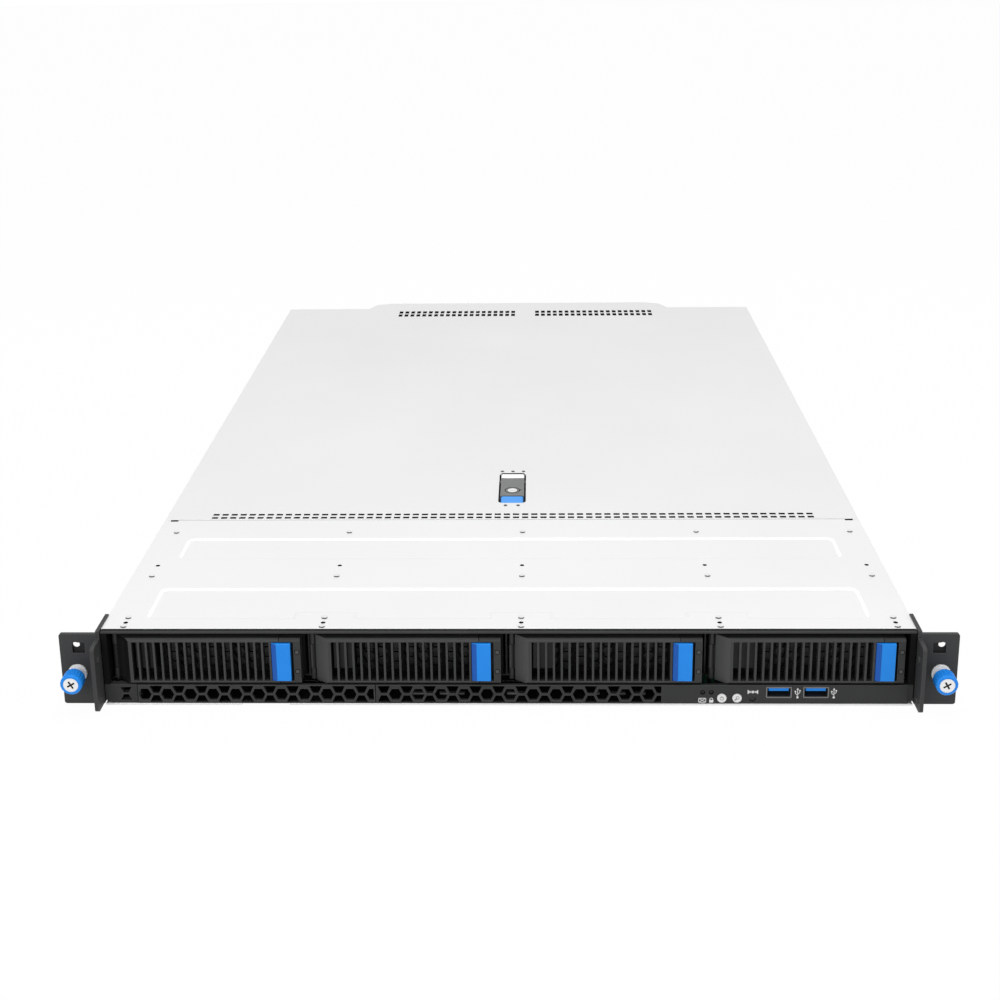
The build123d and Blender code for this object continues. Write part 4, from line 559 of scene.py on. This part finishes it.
# The power and locate buttons and the latch's lock are moulded in white, and the latch's lever in
# mid grey.
white_plastic = made_material(
    "white_moulding", (0.74, 0.74, 0.73), (0.80, 0.80, 0.79), (0.9, 0.9, 0.9),
    0.0, 0.35, 0.5, 2600.0, 0.00001, 80.0, 0.0002,
)
dress(white_plastic, "power_button", "locate_button", "lock_screw")
grey_plastic = made_material(
    "grey_moulding", (0.125, 0.13, 0.13), (0.15, 0.155, 0.155), (0.32, 0.32, 0.32),
    0.0, 0.38, 0.5, 2600.0, 0.00002, 80.0, 0.0004,
)
dress(grey_plastic, "latch_lever")

# The slot cover, the ports' shells, the captive screws and the pressed collars are plated steel of
# different tones. The front ports' shells are painted near black, a painted shade, with a painted
# grey highlight along their front rim. The crosses in the screws and the insides of the rear ports
# are painted dark and dull, a painted shadow.
rear_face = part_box("rear_panel")[1].y
plate_grain = (1800.0, 0.00001, 60.0, 0.0002)
nickel = made_material(
    "nickel_plate", (0.62, 0.62, 0.62), (0.72, 0.72, 0.71), (0.9, 0.9, 0.9), 0.9, 0.2, 0.34, *plate_grain,
)
dress(nickel, "expansion_slot_cover")
collar_steel = made_material(
    "collar_steel", (0.88, 0.88, 0.88), (0.92, 0.92, 0.92), (0.97, 0.97, 0.97),
    0.0, 0.3, 0.42, *plate_grain,
)
dress(collar_steel, "thumbscrew_collars")
screw_steel = made_material(
    "captive_screw_steel", (0.80, 0.80, 0.80), (0.86, 0.86, 0.86), (0.95, 0.95, 0.95),
    0.45, 0.3, 0.42, *plate_grain,
)
screw_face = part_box("left_thumbscrew_screw")[0].y
cross_start = 0.00012
cross_end = 0.0013
recoloured(
    screw_steel, (-past_sides, screw_face + cross_start, 0.0), (past_sides, screw_face + cross_end, 0.1),
    (0.03, 0.03, 0.03), 0.0, 0.6,
)
dress(screw_steel, "left_thumbscrew_screw", "right_thumbscrew_screw")
shell_steel = made_material(
    "port_shell_steel", (0.030, 0.030, 0.030), (0.045, 0.045, 0.045), (0.36, 0.36, 0.36),
    0.5, 0.4, 0.5, 1800.0, 0.00001, 60.0, 0.00022,
)
shell_low, shell_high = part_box("usb_shells")
rim_depth = 0.00025
recoloured(
    shell_steel, (shell_low.x - margin, shell_low.y - margin, shell_low.z - margin),
    (shell_high.x + margin, shell_low.y + rim_depth, shell_high.z + margin), (0.14, 0.14, 0.14), 0.2, 0.4,
)
dress(shell_steel, "usb_shells")
port_steel = made_material(
    "rear_port_steel", (0.60, 0.60, 0.60), (0.68, 0.68, 0.67), (0.9, 0.9, 0.9),
    0.9, 0.25, 0.4, *plate_grain,
)
ports_low, ports_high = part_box("rear_ports")
recoloured(
    port_steel, (ports_low.x - margin, ports_low.y - margin, ports_low.z - margin),
    (ports_high.x + margin, rear_face, ports_high.z + margin), (0.02, 0.02, 0.02), 0.0, 0.45,
)
dress(port_steel, "rear_ports")

# Each drive is a casting coated black, closed by a bare aluminium lid. The processor's cooler is
# aluminium as well.
cast_aluminium = made_material(
    "cast_aluminium", (0.42, 0.43, 0.45), (0.52, 0.53, 0.55), (0.75, 0.75, 0.75),
    0.8, 0.34, 0.5, 900.0, 0.00006, 30.0, 0.0003,
)
dress(cast_aluminium, "processor_heatsink")
drive_casting = twin(cast_aluminium, "drive_casting")
drive_low, drive_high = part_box("hard_drive_1")
lid_height = 0.0014
recoloured(
    drive_casting, (-past_sides, drive_low.y - margin, drive_low.z - margin),
    (past_sides, drive_high.y + margin, drive_high.z - lid_height), (0.016, 0.016, 0.017), 0.0, 0.5,
)
for bay in range(1, 5):
    dress(drive_casting, "hard_drive_%d" % bay)

# The circuit boards are laminate under a green mask, much darker on the drives' backplane. The
# front board's switches and light pipes are dark mouldings.
circuit_board = made_material(
    "green_circuit_board", (0.006, 0.075, 0.035), (0.012, 0.11, 0.05), (0.2, 0.24, 0.12),
    0.0, 0.25, 0.42, 1500.0, 0.00003, 120.0, 0.0002,
)
dress(circuit_board, "motherboard", "memory_modules", "riser_card", "power_backplane")
dark_board = made_material(
    "dark_circuit_board", (0.003, 0.014, 0.008), (0.004, 0.018, 0.010), (0.03, 0.04, 0.03),
    0.0, 0.3, 0.45, 1500.0, 0.00003, 120.0, 0.0002, 0.1,
)
dress(dark_board, "drive_backplane")
lamp_board = twin(circuit_board, "lamp_board")
lamp_low, lamp_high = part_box("front_board")
board_thickness = 0.0017
recoloured(
    lamp_board, (lamp_low.x - margin, lamp_low.y - margin, lamp_low.z - margin),
    (lamp_high.x + margin, lamp_high.y - board_thickness, lamp_high.z + margin),
    (0.004, 0.004, 0.004), 0.0, 0.5,
)
dress(lamp_board, "front_board")

# The fans' frames and rotors are moulded in black glass-filled plastic, with a coarser grain than
# the trays have.
fan_plastic = made_material(
    "fan_moulding", (0.016, 0.016, 0.018), (0.024, 0.024, 0.026), (0.1, 0.1, 0.1),
    0.0, 0.4, 0.55, 1400.0, 0.00003, 60.0, 0.0003,
)
dress(fan_plastic, "fan_frames")
for fan in range(1, 5):
    dress(fan_plastic, "fan_rotor_%d" % fan)

# The power supplies are galvanised cases whose rear carries a black inlet, a black handle and a
# pierced vent over their own small fan.
case_gap = 0.0001
vent_depth = 0.02
vent_gap = 0.0002
vent_side = 0.004
vent_sill = 0.002
for supply in (1, 2):
    supply_case = made_material(
        "power_supply_case_%d" % supply, (0.50, 0.505, 0.51), inner_light, inner_edge, *inner_feel,
    )
    supply_low, supply_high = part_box("power_supply_%d" % supply)
    recoloured(
        supply_case, (supply_low.x - margin, rear_face + case_gap, supply_low.z - margin),
        (supply_high.x + margin, supply_high.y + margin, supply_high.z + margin),
        (0.018, 0.018, 0.019), 0.0, 0.45,
    )
    recoloured(
        supply_case, (supply_low.x + vent_side, rear_face - vent_depth, supply_low.z + vent_sill),
        (supply_high.x - vent_side, rear_face - vent_gap, supply_high.z - vent_sill),
        (0.015, 0.015, 0.016), 0.0, 0.5,
    )
    dress(supply_case, "power_supply_%d" % supply)

# What the CAD leaves out is modelled from here on: rivets, screws, posts, lenses, signs and black
# sheets of painted shade.
# Each piece is settled, gets its finish and slot, and rides on the body that carries it.


def fastened(piece, name, material, body):
    """Settles a piece: its place goes into its mesh, and it gets its finish, slot and body."""
    bpy.ops.object.select_all(action="DESELECT")
    piece.select_set(True)
    bpy.context.view_layer.objects.active = piece
    bpy.ops.object.transform_apply(location=True, rotation=True, scale=True)
    bpy.ops.object.select_all(action="DESELECT")
    piece.name = name
    piece.data.name = name
    piece.data.materials.clear()
    piece.data.materials.append(material)
    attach(piece, body)


def repeated(pattern, places):
    """Copies a piece modelled at the origin to each place and joins the copies into one."""
    copies = []
    for place in places:
        one = pattern.copy()
        one.data = pattern.data.copy()
        one.location = place
        bpy.context.scene.collection.objects.link(one)
        copies.append(one)
    bpy.data.objects.remove(pattern)
    return joined(copies)


def joined(pieces):
    """Joins pieces into the first of them."""
    bpy.ops.object.select_all(action="DESELECT")
    for piece in pieces:
        piece.select_set(True)
    bpy.context.view_layer.objects.active = pieces[0]
    bpy.ops.object.join()
    bpy.ops.object.transform_apply(location=True, rotation=True, scale=True)
    bpy.ops.object.select_all(action="DESELECT")
    return pieces[0]


def rounded(piece, width, steps=2):
    """Rounds a piece's sharp edges with an applied bevel."""
    bpy.ops.object.select_all(action="DESELECT")
    piece.select_set(True)
    bpy.context.view_layer.objects.active = piece
    bpy.ops.object.transform_apply(location=False, rotation=True, scale=True)
    softened = piece.modifiers.new("rounding", "BEVEL")
    softened.width = width
    softened.segments = steps
    softened.limit_method = "ANGLE"
    bpy.ops.object.modifier_apply(modifier="rounding")
    bpy.ops.object.shade_smooth_by_angle(angle=math.radians(35))
    bpy.ops.object.select_all(action="DESELECT")
    return piece


# Pressed rivets hold the covers' stiffeners: a row of low round heads along each edge of the two
# sunk panels. They are formed out of the same galvanised sheet.
cover_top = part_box("front_cover")[1].z
rivet_radius = 0.0018
rivet_rise = 0.00055
rivet_columns = (-0.2076, -0.0995, 0.0082, 0.1154, 0.2098)
rivet_rows = (0.0070, 0.0172, 0.0686, 0.1300)
rivet_metal = made_material(
    "pressed_rivet", (0.72, 0.725, 0.72), (0.78, 0.785, 0.78), (0.80, 0.80, 0.80),
    0.55, 0.40, 0.5, 1800.0, 0.00001, 9.0, 0.0001,
)
# The rivets' front-facing sides are painted dark, a painted shade.
painted_side_shade_and_light(rivet_metal, (0.0, -1.0, 0.0), 0.30, (0.05, 0.05, 0.05))
bpy.ops.mesh.primitive_cylinder_add(vertices=28, radius=rivet_radius, depth=2 * rivet_rise)
rivet_head = rounded(bpy.context.object, rivet_rise * 0.95, 4)
rivet_places = [(column, row, cover_top) for column in rivet_columns for row in rivet_rows]
fastened(repeated(rivet_head, rivet_places), "front_cover_rivets", rivet_metal, "chassis")

# Small clinched points hold the latch's pocket under the sliding cover, three behind it and two
# in front.
clinch_radius = 0.0012
clinch_rise = 0.00025
latch_low, latch_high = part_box("latch_lever")
latch_middle = (latch_low.x + latch_high.x) / 2
clinch_rear = 0.2299
clinch_front = 0.1713
rear_spread = 0.0072
front_spread = 0.0041
# They are coloured near black, a painted shade of their pressed hollows.
clinch_painted_shade = made_material(
    "clinch_point", (0.05, 0.05, 0.05), (0.07, 0.07, 0.07), (0.10, 0.10, 0.10),
    0.6, 0.35, 0.5, 1800.0, 0.00001, 9.0, 0.0002,
)
bpy.ops.mesh.primitive_cylinder_add(vertices=16, radius=clinch_radius, depth=2 * clinch_rise)
clinch = rounded(bpy.context.object, clinch_rise * 0.8, 3)
clinch_places = []
for across in (-rear_spread, 0.0, rear_spread):
    clinch_places.append((latch_middle + across, clinch_rear, cover_top))
for across in (-front_spread, front_spread):
    clinch_places.append((latch_middle + across, clinch_front, cover_top))
clinches = repeated(clinch, clinch_places)
fastened(clinches, "latch_clinch_points", clinch_painted_shade, "sliding_cover")

# The fascia is printed in white beside its lamps, its reset button and its ports with plain signs:
# a letter, a padlock, a network line and the port sign. The ink stands hardly proud of the paint.
ink_depth = 0.00006
ink_width = 0.00034
fascia_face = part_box("control_fascia")[0].y
ink = made_material(
    "white_print", (0.70, 0.70, 0.70), (0.78, 0.78, 0.78), (0.85, 0.85, 0.85),
    0.0, 0.45, 0.6, 3000.0, 0.00001, 90.0, 0.00005,
)


def ink_bar(face, start, end, width=ink_width):
    """A straight printed line on the face at that depth, between two places given as (x, z)."""
    run = Vector((end[0] - start[0], end[1] - start[1]))
    bpy.ops.mesh.primitive_cube_add(
        size=1.0, location=((start[0] + end[0]) / 2, face, (start[1] + end[1]) / 2),
        rotation=(0.0, -math.atan2(run.y, run.x), 0.0), scale=(run.length, 2 * ink_depth, width),
    )
    return bpy.context.object


def ink_dot(face, place, radius, sides=20, turn=0.0):
    """A printed spot, round or with a few sides."""
    bpy.ops.mesh.primitive_cylinder_add(
        vertices=sides, radius=radius, depth=2 * ink_depth,
        location=(place[0], face, place[1]), rotation=(math.pi / 2, turn, 0.0),
    )
    return bpy.context.object


def ink_ring(face, place, radius, width=ink_width):
    """A printed circle line."""
    bpy.ops.mesh.primitive_torus_add(
        major_segments=32, minor_segments=6, major_radius=radius, minor_radius=width / 2,
        location=(place[0], face, place[1]), rotation=(math.pi / 2, 0.0, 0.0),
    )
    ring = bpy.context.object
    ring.scale = (1.0, 1.0, 2 * ink_depth / width)
    return ring


def letter_sign(x, z):
    """An envelope: a frame with both of its diagonals."""
    wide = 0.0019
    high = 0.0012
    corners = [(x - wide, z - high), (x + wide, z - high), (x + wide, z + high), (x - wide, z + high)]
    lines = [ink_bar(fascia_face, corners[n], corners[(n + 1) % 4]) for n in range(4)]
    lines.append(ink_bar(fascia_face, corners[0], corners[2]))
    lines.append(ink_bar(fascia_face, corners[1], corners[3]))
    return lines


def padlock_sign(x, z):
    """A solid body under a ring."""
    reach = 0.0011
    body_drop = 0.0006
    body = ink_bar(fascia_face, (x - reach, z - body_drop), (x + reach, z - body_drop), 0.0015)
    return [body, ink_ring(fascia_face, (x, z + 0.0005), 0.0008)]


def network_sign(x, z):
    """A spot on a line that ends in a small triangle and a bar at each side."""
    reach = 0.0011
    lines = []
    for side in (-1, 1):
        outer = x + side * 0.0025
        inner = x + side * 0.0017
        lines.append(ink_bar(fascia_face, (outer, z - reach), (outer, z + reach), 0.0006))
        lines.append(ink_dot(fascia_face, (inner, z), 0.0008, 3, side * math.pi / 2))
        lines.append(ink_bar(fascia_face, (inner, z), (x, z)))
    lines.append(ink_dot(fascia_face, (x, z), 0.0008, 12))
    return lines


def port_sign(x, z):
    """A stem with a round foot and a pointed top, and a branch to each side."""
    branch = 0.0012
    return [
        ink_bar(fascia_face, (x, z - 0.0024), (x, z + 0.0020)),
        ink_dot(fascia_face, (x, z - 0.0025), 0.00062),
        ink_dot(fascia_face, (x, z + 0.0024), 0.00072, 3),
        ink_bar(fascia_face, (x, z - 0.0013), (x - branch, z - 0.0001)),
        ink_bar(fascia_face, (x - branch, z - 0.0001), (x - branch, z + 0.0008)),
        ink_dot(fascia_face, (x - branch, z + 0.0010), 0.00045),
        ink_bar(fascia_face, (x, z - 0.0007), (x + branch, z + 0.0005)),
        ink_bar(fascia_face, (x + branch, z + 0.0005), (x + branch, z + 0.0013)),
        ink_bar(fascia_face, (x + 0.0008, z + 0.0015), (x + 0.0016, z + 0.0015), 0.0007),
    ]


letter_place = (0.1057, 0.0031)
padlock_place = (0.1106, 0.0031)
network_place = (0.1328, 0.0081)
port_places = ((0.1568, 0.0074), (0.17625, 0.0074))
signs = letter_sign(*letter_place) + padlock_sign(*padlock_place) + network_sign(*network_place)
for place in port_places:
    signs += port_sign(*place)
fastened(joined(signs), "fascia_signs", ink, "chassis")

# The two white buttons carry their signs in dark ink, and move with them: a ring with an upright
# bar for power, and a ring with a handle for locate.
button_ink = made_material(
    "dark_print", (0.06, 0.06, 0.06), (0.08, 0.08, 0.08), (0.15, 0.15, 0.15),
    0.0, 0.5, 0.6, 3000.0, 0.00001, 90.0, 0.00005,
)
button_line = 0.00028
power_low, power_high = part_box("power_button")
power_x = (power_low.x + power_high.x) / 2
power_z = (power_low.z + power_high.z) / 2
power_sign = joined([
    ink_ring(power_low.y, (power_x, power_z - 0.0001), 0.00095, button_line),
    ink_bar(power_low.y, (power_x, power_z + 0.0001), (power_x, power_z + 0.0013), button_line),
])
fastened(power_sign, "power_sign", button_ink, "power_button")
locate_low, locate_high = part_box("locate_button")
locate_x = (locate_low.x + locate_high.x) / 2
locate_z = (locate_low.z + locate_high.z) / 2
ring_shift = 0.0003
handle_start = (locate_x - ring_shift, locate_z - ring_shift)
handle_end = (locate_x - 0.0013, locate_z - 0.0012)
locate_sign = joined([
    ink_ring(locate_low.y, (locate_x + ring_shift, locate_z + ring_shift), 0.0008, button_line),
    ink_bar(locate_low.y, handle_start, handle_end, 0.0004),
])
fastened(locate_sign, "locate_sign", button_ink, "locate_button")

# A flat black sheet is put under each field of slots in the sliding cover, a painted shade, so that
# only darkness shows through them. It has rounded corners.
# This black material also serves real black collars, a washer and printed marks.
black_parts_and_painted_shade = made_material(
    "black_parts_and_shade_sheets", (0.004, 0.004, 0.004), (0.007, 0.007, 0.007), (0.01, 0.01, 0.01),
    0.0, 0.8, 0.9, 4000.0, 0.00004, 60.0, 0.0001, 0.1,
)
shade_sheet_thickness = 0.0001
shade_sheet_level = cover_top - 0.00106


def sheet_piece(low, high, level, thickness, corner):
    """A flat sheet with rounded corners, from its low and high corners in plan."""
    bpy.ops.mesh.primitive_cube_add(
        size=1.0, location=((low[0] + high[0]) / 2, (low[1] + high[1]) / 2, level),
        scale=(high[0] - low[0], high[1] - low[1], thickness),
    )
    sheet = bpy.context.object
    bpy.ops.object.transform_apply(location=False, rotation=False, scale=True)
    bpy.ops.object.mode_set(mode="EDIT")
    bpy.ops.mesh.select_mode(type="EDGE")
    bpy.ops.mesh.select_all(action="DESELECT")
    bpy.ops.object.mode_set(mode="OBJECT")
    for edge in sheet.data.edges:
        ends = [sheet.data.vertices[n].co for n in edge.vertices]
        edge.select = abs(ends[0].z - ends[1].z) > thickness / 2
    bpy.ops.object.mode_set(mode="EDIT")
    bpy.ops.mesh.bevel(offset=corner, segments=4, affect="EDGES")
    bpy.ops.object.mode_set(mode="OBJECT")
    return sheet


shade_sheet_corner = 0.002
shade_sheet_fields = (
    ((-0.197, 0.1496), (0.199, 0.1618)),
    ((-0.117, 0.6200), (0.0, 0.6435)),
    ((0.0125, 0.6200), (0.1300, 0.6435)),
)
shade_sheet_strips = []
for low, high in shade_sheet_fields:
    shade_sheet_strips.append(sheet_piece(low, high, shade_sheet_level, shade_sheet_thickness, shade_sheet_corner))
fastened(joined(shade_sheet_strips), "cover_slot_painted_shade", black_parts_and_painted_shade, "sliding_cover")

# Behind the honeycomb black sheets line the slim bay, a painted shade: a floor sheet and an upright
# sheet across. A few low stiffening ribs of the pan stand up through them in the cells about the
# middle.
bay_shade_left = -0.2130
bay_shade_right = 0.0950
bay_shade_thickness = 0.0002
bay_shade_corner = 0.001
bay_shade_level = 0.00112
bay_shade_floor = sheet_piece((bay_shade_left, 0.0028), (bay_shade_right, 0.0230), bay_shade_level, bay_shade_thickness, bay_shade_corner)
bay_shade_wall = sheet_piece((bay_shade_left, -0.0108), (bay_shade_right, -0.0012), 0.0, bay_shade_thickness, bay_shade_corner)
bay_shade_wall.rotation_euler = (math.pi / 2, 0.0, 0.0)
bay_shade_wall.location = (bay_shade_wall.location.x, 0.0235, 0.0062)
fastened(joined([bay_shade_floor, bay_shade_wall]), "slim_bay_painted_shade", black_parts_and_painted_shade, "chassis")
rib_metal = made_material(
    "pan_rib", (0.16, 0.16, 0.16), (0.24, 0.24, 0.24), (0.30, 0.30, 0.30),
    0.5, 0.4, 0.55, 900.0, 0.00002, 300.0, 0.0002,
)
rib_front = 0.0085
rib_rear = 0.0110
rib_level = 0.0017
rib_height = 0.0012
rib_corner = 0.0008
rib_rounding = 0.0003
rib_spans = (
    (-0.0540, -0.0400), (-0.0370, -0.0230), (0.0000, 0.0110),
    (0.0480, 0.0510), (0.0560, 0.0650), (0.0700, 0.0760),
)
ribs = []
for start, end in rib_spans:
    rib = sheet_piece((start, rib_front), (end, rib_rear), rib_level, rib_height, rib_corner)
    ribs.append(rounded(rib, rib_rounding))
fastened(joined(ribs), "pan_ribs", rib_metal, "chassis")

# Behind the latch's lever the pocket rises to the cover in a ramp, coloured much paler than the
# pocket's sheet, a painted highlight. The ramp is a sloping sheet with rounded corners, whose front
# edge hangs over the pocket's floor, clear of the lever.
ramp_painted_highlight = made_material(
    "latch_ramp", (0.80, 0.805, 0.80), (0.86, 0.865, 0.86), (0.95, 0.95, 0.95),
    0.3, 0.35, 0.45, 1800.0, 0.00001, 9.0, 0.0002,
)
ramp_rear = 0.22700
ramp_front = 0.22180
ramp_top = cover_top - 0.0009
ramp_drop = 0.0036
ramp_reach = 0.0078
ramp_sheet = 0.0005
ramp_corner = 0.0012
ramp_run = math.hypot(ramp_rear - ramp_front, ramp_drop)
ramp = sheet_piece((-ramp_reach, -ramp_run / 2), (ramp_reach, ramp_run / 2), 0.0, ramp_sheet, ramp_corner)
ramp.rotation_euler = (math.atan2(ramp_drop, ramp_rear - ramp_front), 0.0, 0.0)
ramp.location = (latch_middle, (ramp_rear + ramp_front) / 2, ramp_top - ramp_drop / 2)
fastened(rounded(ramp, 0.00012), "latch_ramp", ramp_painted_highlight, "sliding_cover")

# Each tray's bar carries its two light pipes: a smoked lens in a thin black collar, one over the
# other beside the lever's tab.
lens_plastic = made_material(
    "light_pipe_lens", (0.040, 0.040, 0.040), (0.055, 0.055, 0.055), (0.08, 0.08, 0.08),
    0.0, 0.35, 0.45, 3000.0, 0.00001, 90.0, 0.0001,
)
pipe_levels = (0.0202, 0.0317)
pipe_offset = 0.0493
collar_radius = 0.00125
collar_line = 0.00045
lens_radius = 0.00105
bay_pitch = 0.108
bays_middle = 2.5
for bay in range(1, 5):
    bar_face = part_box("tray_frame_%d" % bay)[0].y
    pipe_x = (bay - bays_middle) * bay_pitch + pipe_offset
    rings = [ink_ring(bar_face, (pipe_x, level), collar_radius, collar_line) for level in pipe_levels]
    fastened(joined(rings), "light_pipe_collars_%d" % bay, black_parts_and_painted_shade, "drive_tray_%d" % bay)
    lenses = [ink_dot(bar_face, (pipe_x, level), lens_radius) for level in pipe_levels]
    tray = "drive_tray_%d" % bay
    fastened(joined(lenses), "light_pipe_lenses_%d" % bay, lens_plastic, tray)

# Two status lamps sit behind black collars in the fascia, one over each of its two left signs. A
# collar is a thin ring that is set on the fascia's face.
lamp_places = ((0.1059, 0.0078), (0.1105, 0.0078))
collars = [ink_ring(fascia_face, place, 0.0011, 0.0006) for place in lamp_places]
fastened(joined(collars), "status_lamp_collars", black_parts_and_painted_shade, "chassis")

# The latch's lock turns in a black washer on the lever, beside a mark that shows its locked place.
# A black line marks the joint of the lever and its tip.
lock_low, lock_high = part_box("lock_screw")
lever_top = latch_high.z
lock_x = (lock_low.x + lock_high.x) / 2
lock_y = (lock_low.y + lock_high.y) / 2
bpy.ops.mesh.primitive_torus_add(
    major_segments=40, minor_segments=8, major_radius=(lock_high.x - lock_low.x) / 2 + 0.00035,
    minor_radius=0.00025, location=(lock_x, lock_y, lever_top),
)
washer = bpy.context.object
washer.scale = (1.0, 1.0, 0.5)
bpy.ops.mesh.primitive_cube_add(
    size=1.0, location=(lock_x + 0.0052, lock_y + 0.0002, lever_top), rotation=(0.0, 0.0, math.radians(50)),
    scale=(0.0026, 0.0006, 0.00012),
)
mark = bpy.context.object
tip_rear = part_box("latch_tip")[1].y
bpy.ops.mesh.primitive_cube_add(
    size=1.0, location=(latch_middle, tip_rear, lever_top), scale=(0.0142, 0.0009, 0.00008),
)
joint_line = bpy.context.object
fastened(joined([washer, mark, joint_line]), "latch_marks", black_parts_and_painted_shade, "cover_latch")

# Small cross-headed screws hold the ears to the chassis, the rear panel and the supplies' cases.
# Each is a low rounded head with a cross sunk into it.
small_screw = made_material(
    "small_screw_zinc", (0.50, 0.50, 0.50), (0.58, 0.58, 0.57), (0.85, 0.85, 0.85),
    0.85, 0.28, 0.4, 2400.0, 0.00001, 90.0, 0.0001,
)
black_screw = made_material(
    "small_screw_black", (0.03, 0.03, 0.03), (0.04, 0.04, 0.04), (0.14, 0.14, 0.14),
    0.3, 0.35, 0.5, 2400.0, 0.00001, 90.0, 0.0001,
)


def cut_out(piece, cutter, crossing):
    """Takes a cutter's shape out of a piece; crossing says that the cutter's parts overlap."""
    bpy.context.view_layer.objects.active = piece
    taken = piece.modifiers.new("cut", "BOOLEAN")
    taken.operation = "DIFFERENCE"
    taken.object = cutter
    taken.use_self = crossing
    bpy.ops.object.modifier_apply(modifier="cut")
    bpy.data.objects.remove(cutter)


def cross_screw(radius, rise, turn):
    """A screw head at the origin that rises along Z, turned to look along another axis."""
    bpy.ops.mesh.primitive_cylinder_add(vertices=28, radius=radius, depth=2 * rise)
    head = rounded(bpy.context.object, rise * 0.7, 3)
    bars = []
    for size in ((1.15 * radius, 0.3 * radius), (0.3 * radius, 1.15 * radius)):
        bpy.ops.mesh.primitive_cube_add(size=1.0, location=(0.0, 0.0, rise), scale=(*size, 1.2 * rise))
        bars.append(bpy.context.object)
    cut_out(head, joined(bars), True)
    head.rotation_euler = turn
    return head


to_left = (0.0, -math.pi / 2, 0.0)
to_right = (0.0, math.pi / 2, 0.0)
to_rear = (-math.pi / 2, 0.0, 0.0)
ear_wall = 0.22125
ear_screw_depth = 0.0135
ear_screw_levels = (0.0095, 0.0330)
side_wall = 0.21925
wall_screw_level = 0.0070
wall_screw_depths = (0.045, 0.150, 0.240, 0.480, 0.610)
for word, side, turn in (("left", -1, to_left), ("right", 1, to_right)):
    places = [(side * ear_wall, ear_screw_depth, level) for level in ear_screw_levels]
    screws = repeated(cross_screw(0.0026, 0.0004, turn), places)
    fastened(screws, word + "_ear_screws", black_screw, "chassis")
    places = [(side * side_wall, depth, wall_screw_level) for depth in wall_screw_depths]
    screws = repeated(cross_screw(0.0022, 0.00035, turn), places)
    fastened(screws, word + "_wall_screws", small_screw, "chassis")
panel_screws = (
    (0.1005, 0.0375), (0.1005, 0.0050), (0.1500, 0.0080),
    (0.2110, 0.0300), (0.2110, 0.0060), (-0.0620, 0.0300),
)
places = [(across, rear_face, level) for across, level in panel_screws]
screws = repeated(cross_screw(0.0026, 0.0005, to_rear), places)
fastened(screws, "rear_panel_screws", small_screw, "chassis")
supply_screws = ((0.0045, 0.0370), (0.0690, 0.0370), (0.0690, 0.0045))
for supply in (1, 2):
    supply_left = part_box("power_supply_%d" % supply)[0].x
    places = [(supply_left + across, rear_face, level) for across, level in supply_screws]
    screws = repeated(cross_screw(0.0019, 0.0004, to_rear), places)
    fastened(screws, "supply_screws_%d" % supply, small_screw, "power_supply_%d" % supply)

# Hexagon posts stand on both sides of the two shell connectors at the rear, each with a threaded
# bore for the plug's screws.
connector_middles = (-0.042, 0.082)
post_spread = 0.0125
post_level = 0.01435
post_length = 0.0052
post_places = []
for middle in connector_middles:
    for side in (-1, 1):
        post_places.append((middle + side * post_spread, rear_face, post_level))
bpy.ops.mesh.primitive_cylinder_add(vertices=6, radius=0.0027, depth=post_length)
post = rounded(bpy.context.object, 0.0003, 2)
bpy.ops.mesh.primitive_cylinder_add(
    vertices=20, radius=0.0013, depth=0.004, location=(0.0, 0.0, post_length / 2),
)
cut_out(post, bpy.context.object, False)
post.rotation_euler = to_rear
fastened(repeated(post, post_places), "connector_posts", small_screw, "chassis")

# Above each network jack sit two small lamp windows of clouded plastic, one to each side of its
# middle.
lamp_window = made_material(
    "lamp_window", (0.30, 0.42, 0.20), (0.36, 0.48, 0.24), (0.5, 0.6, 0.4),
    0.0, 0.25, 0.35, 2000.0, 0.00001, 90.0, 0.0001, 0.5, 0.2,
)
jack_middles = (-0.016, 0.002, 0.020)
lamp_spread = 0.0050
lamp_level = 0.0203
lamp_rear = 0.6504
lamps = []
for middle in jack_middles:
    for side in (-1, 1):
        bpy.ops.mesh.primitive_cube_add(
            size=1.0, location=(middle + side * lamp_spread, lamp_rear, lamp_level),
            scale=(0.0030, 0.0005, 0.0016),
        )
        lamps.append(rounded(bpy.context.object, 0.0002))
fastened(joined(lamps), "jack_lamps", lamp_window, "chassis")

# Each drive's lid is held by small cross-headed screws, three along each long edge and one over
# its arm.
lid_screw = made_material(
    "lid_screw", (0.42, 0.42, 0.42), (0.50, 0.50, 0.50), (0.8, 0.8, 0.8),
    0.85, 0.25, 0.4, 2400.0, 0.00001, 90.0, 0.0001,
)
lid_screw_reach = 0.0455
lid_screw_shares = (0.05, 0.5, 0.95)
arm_screw_across = 0.022
arm_screw_depth = 0.118
upright = (0.0, 0.0, 0.0)
for bay in range(1, 5):
    drive_low, drive_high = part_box("hard_drive_%d" % bay)
    middle = (drive_low.x + drive_high.x) / 2
    lid_places = []
    for across in (-lid_screw_reach, lid_screw_reach):
        for share in lid_screw_shares:
            depth = drive_low.y + share * (drive_high.y - drive_low.y)
            lid_places.append((middle + across, depth, drive_high.z))
    lid_places.append((middle + arm_screw_across, drive_low.y + arm_screw_depth, drive_high.z))
    heads = repeated(cross_screw(0.0018, 0.0003, upright), lid_places)
    fastened(heads, "drive_lid_screws_%d" % bay, lid_screw, "drive_tray_%d" % bay)
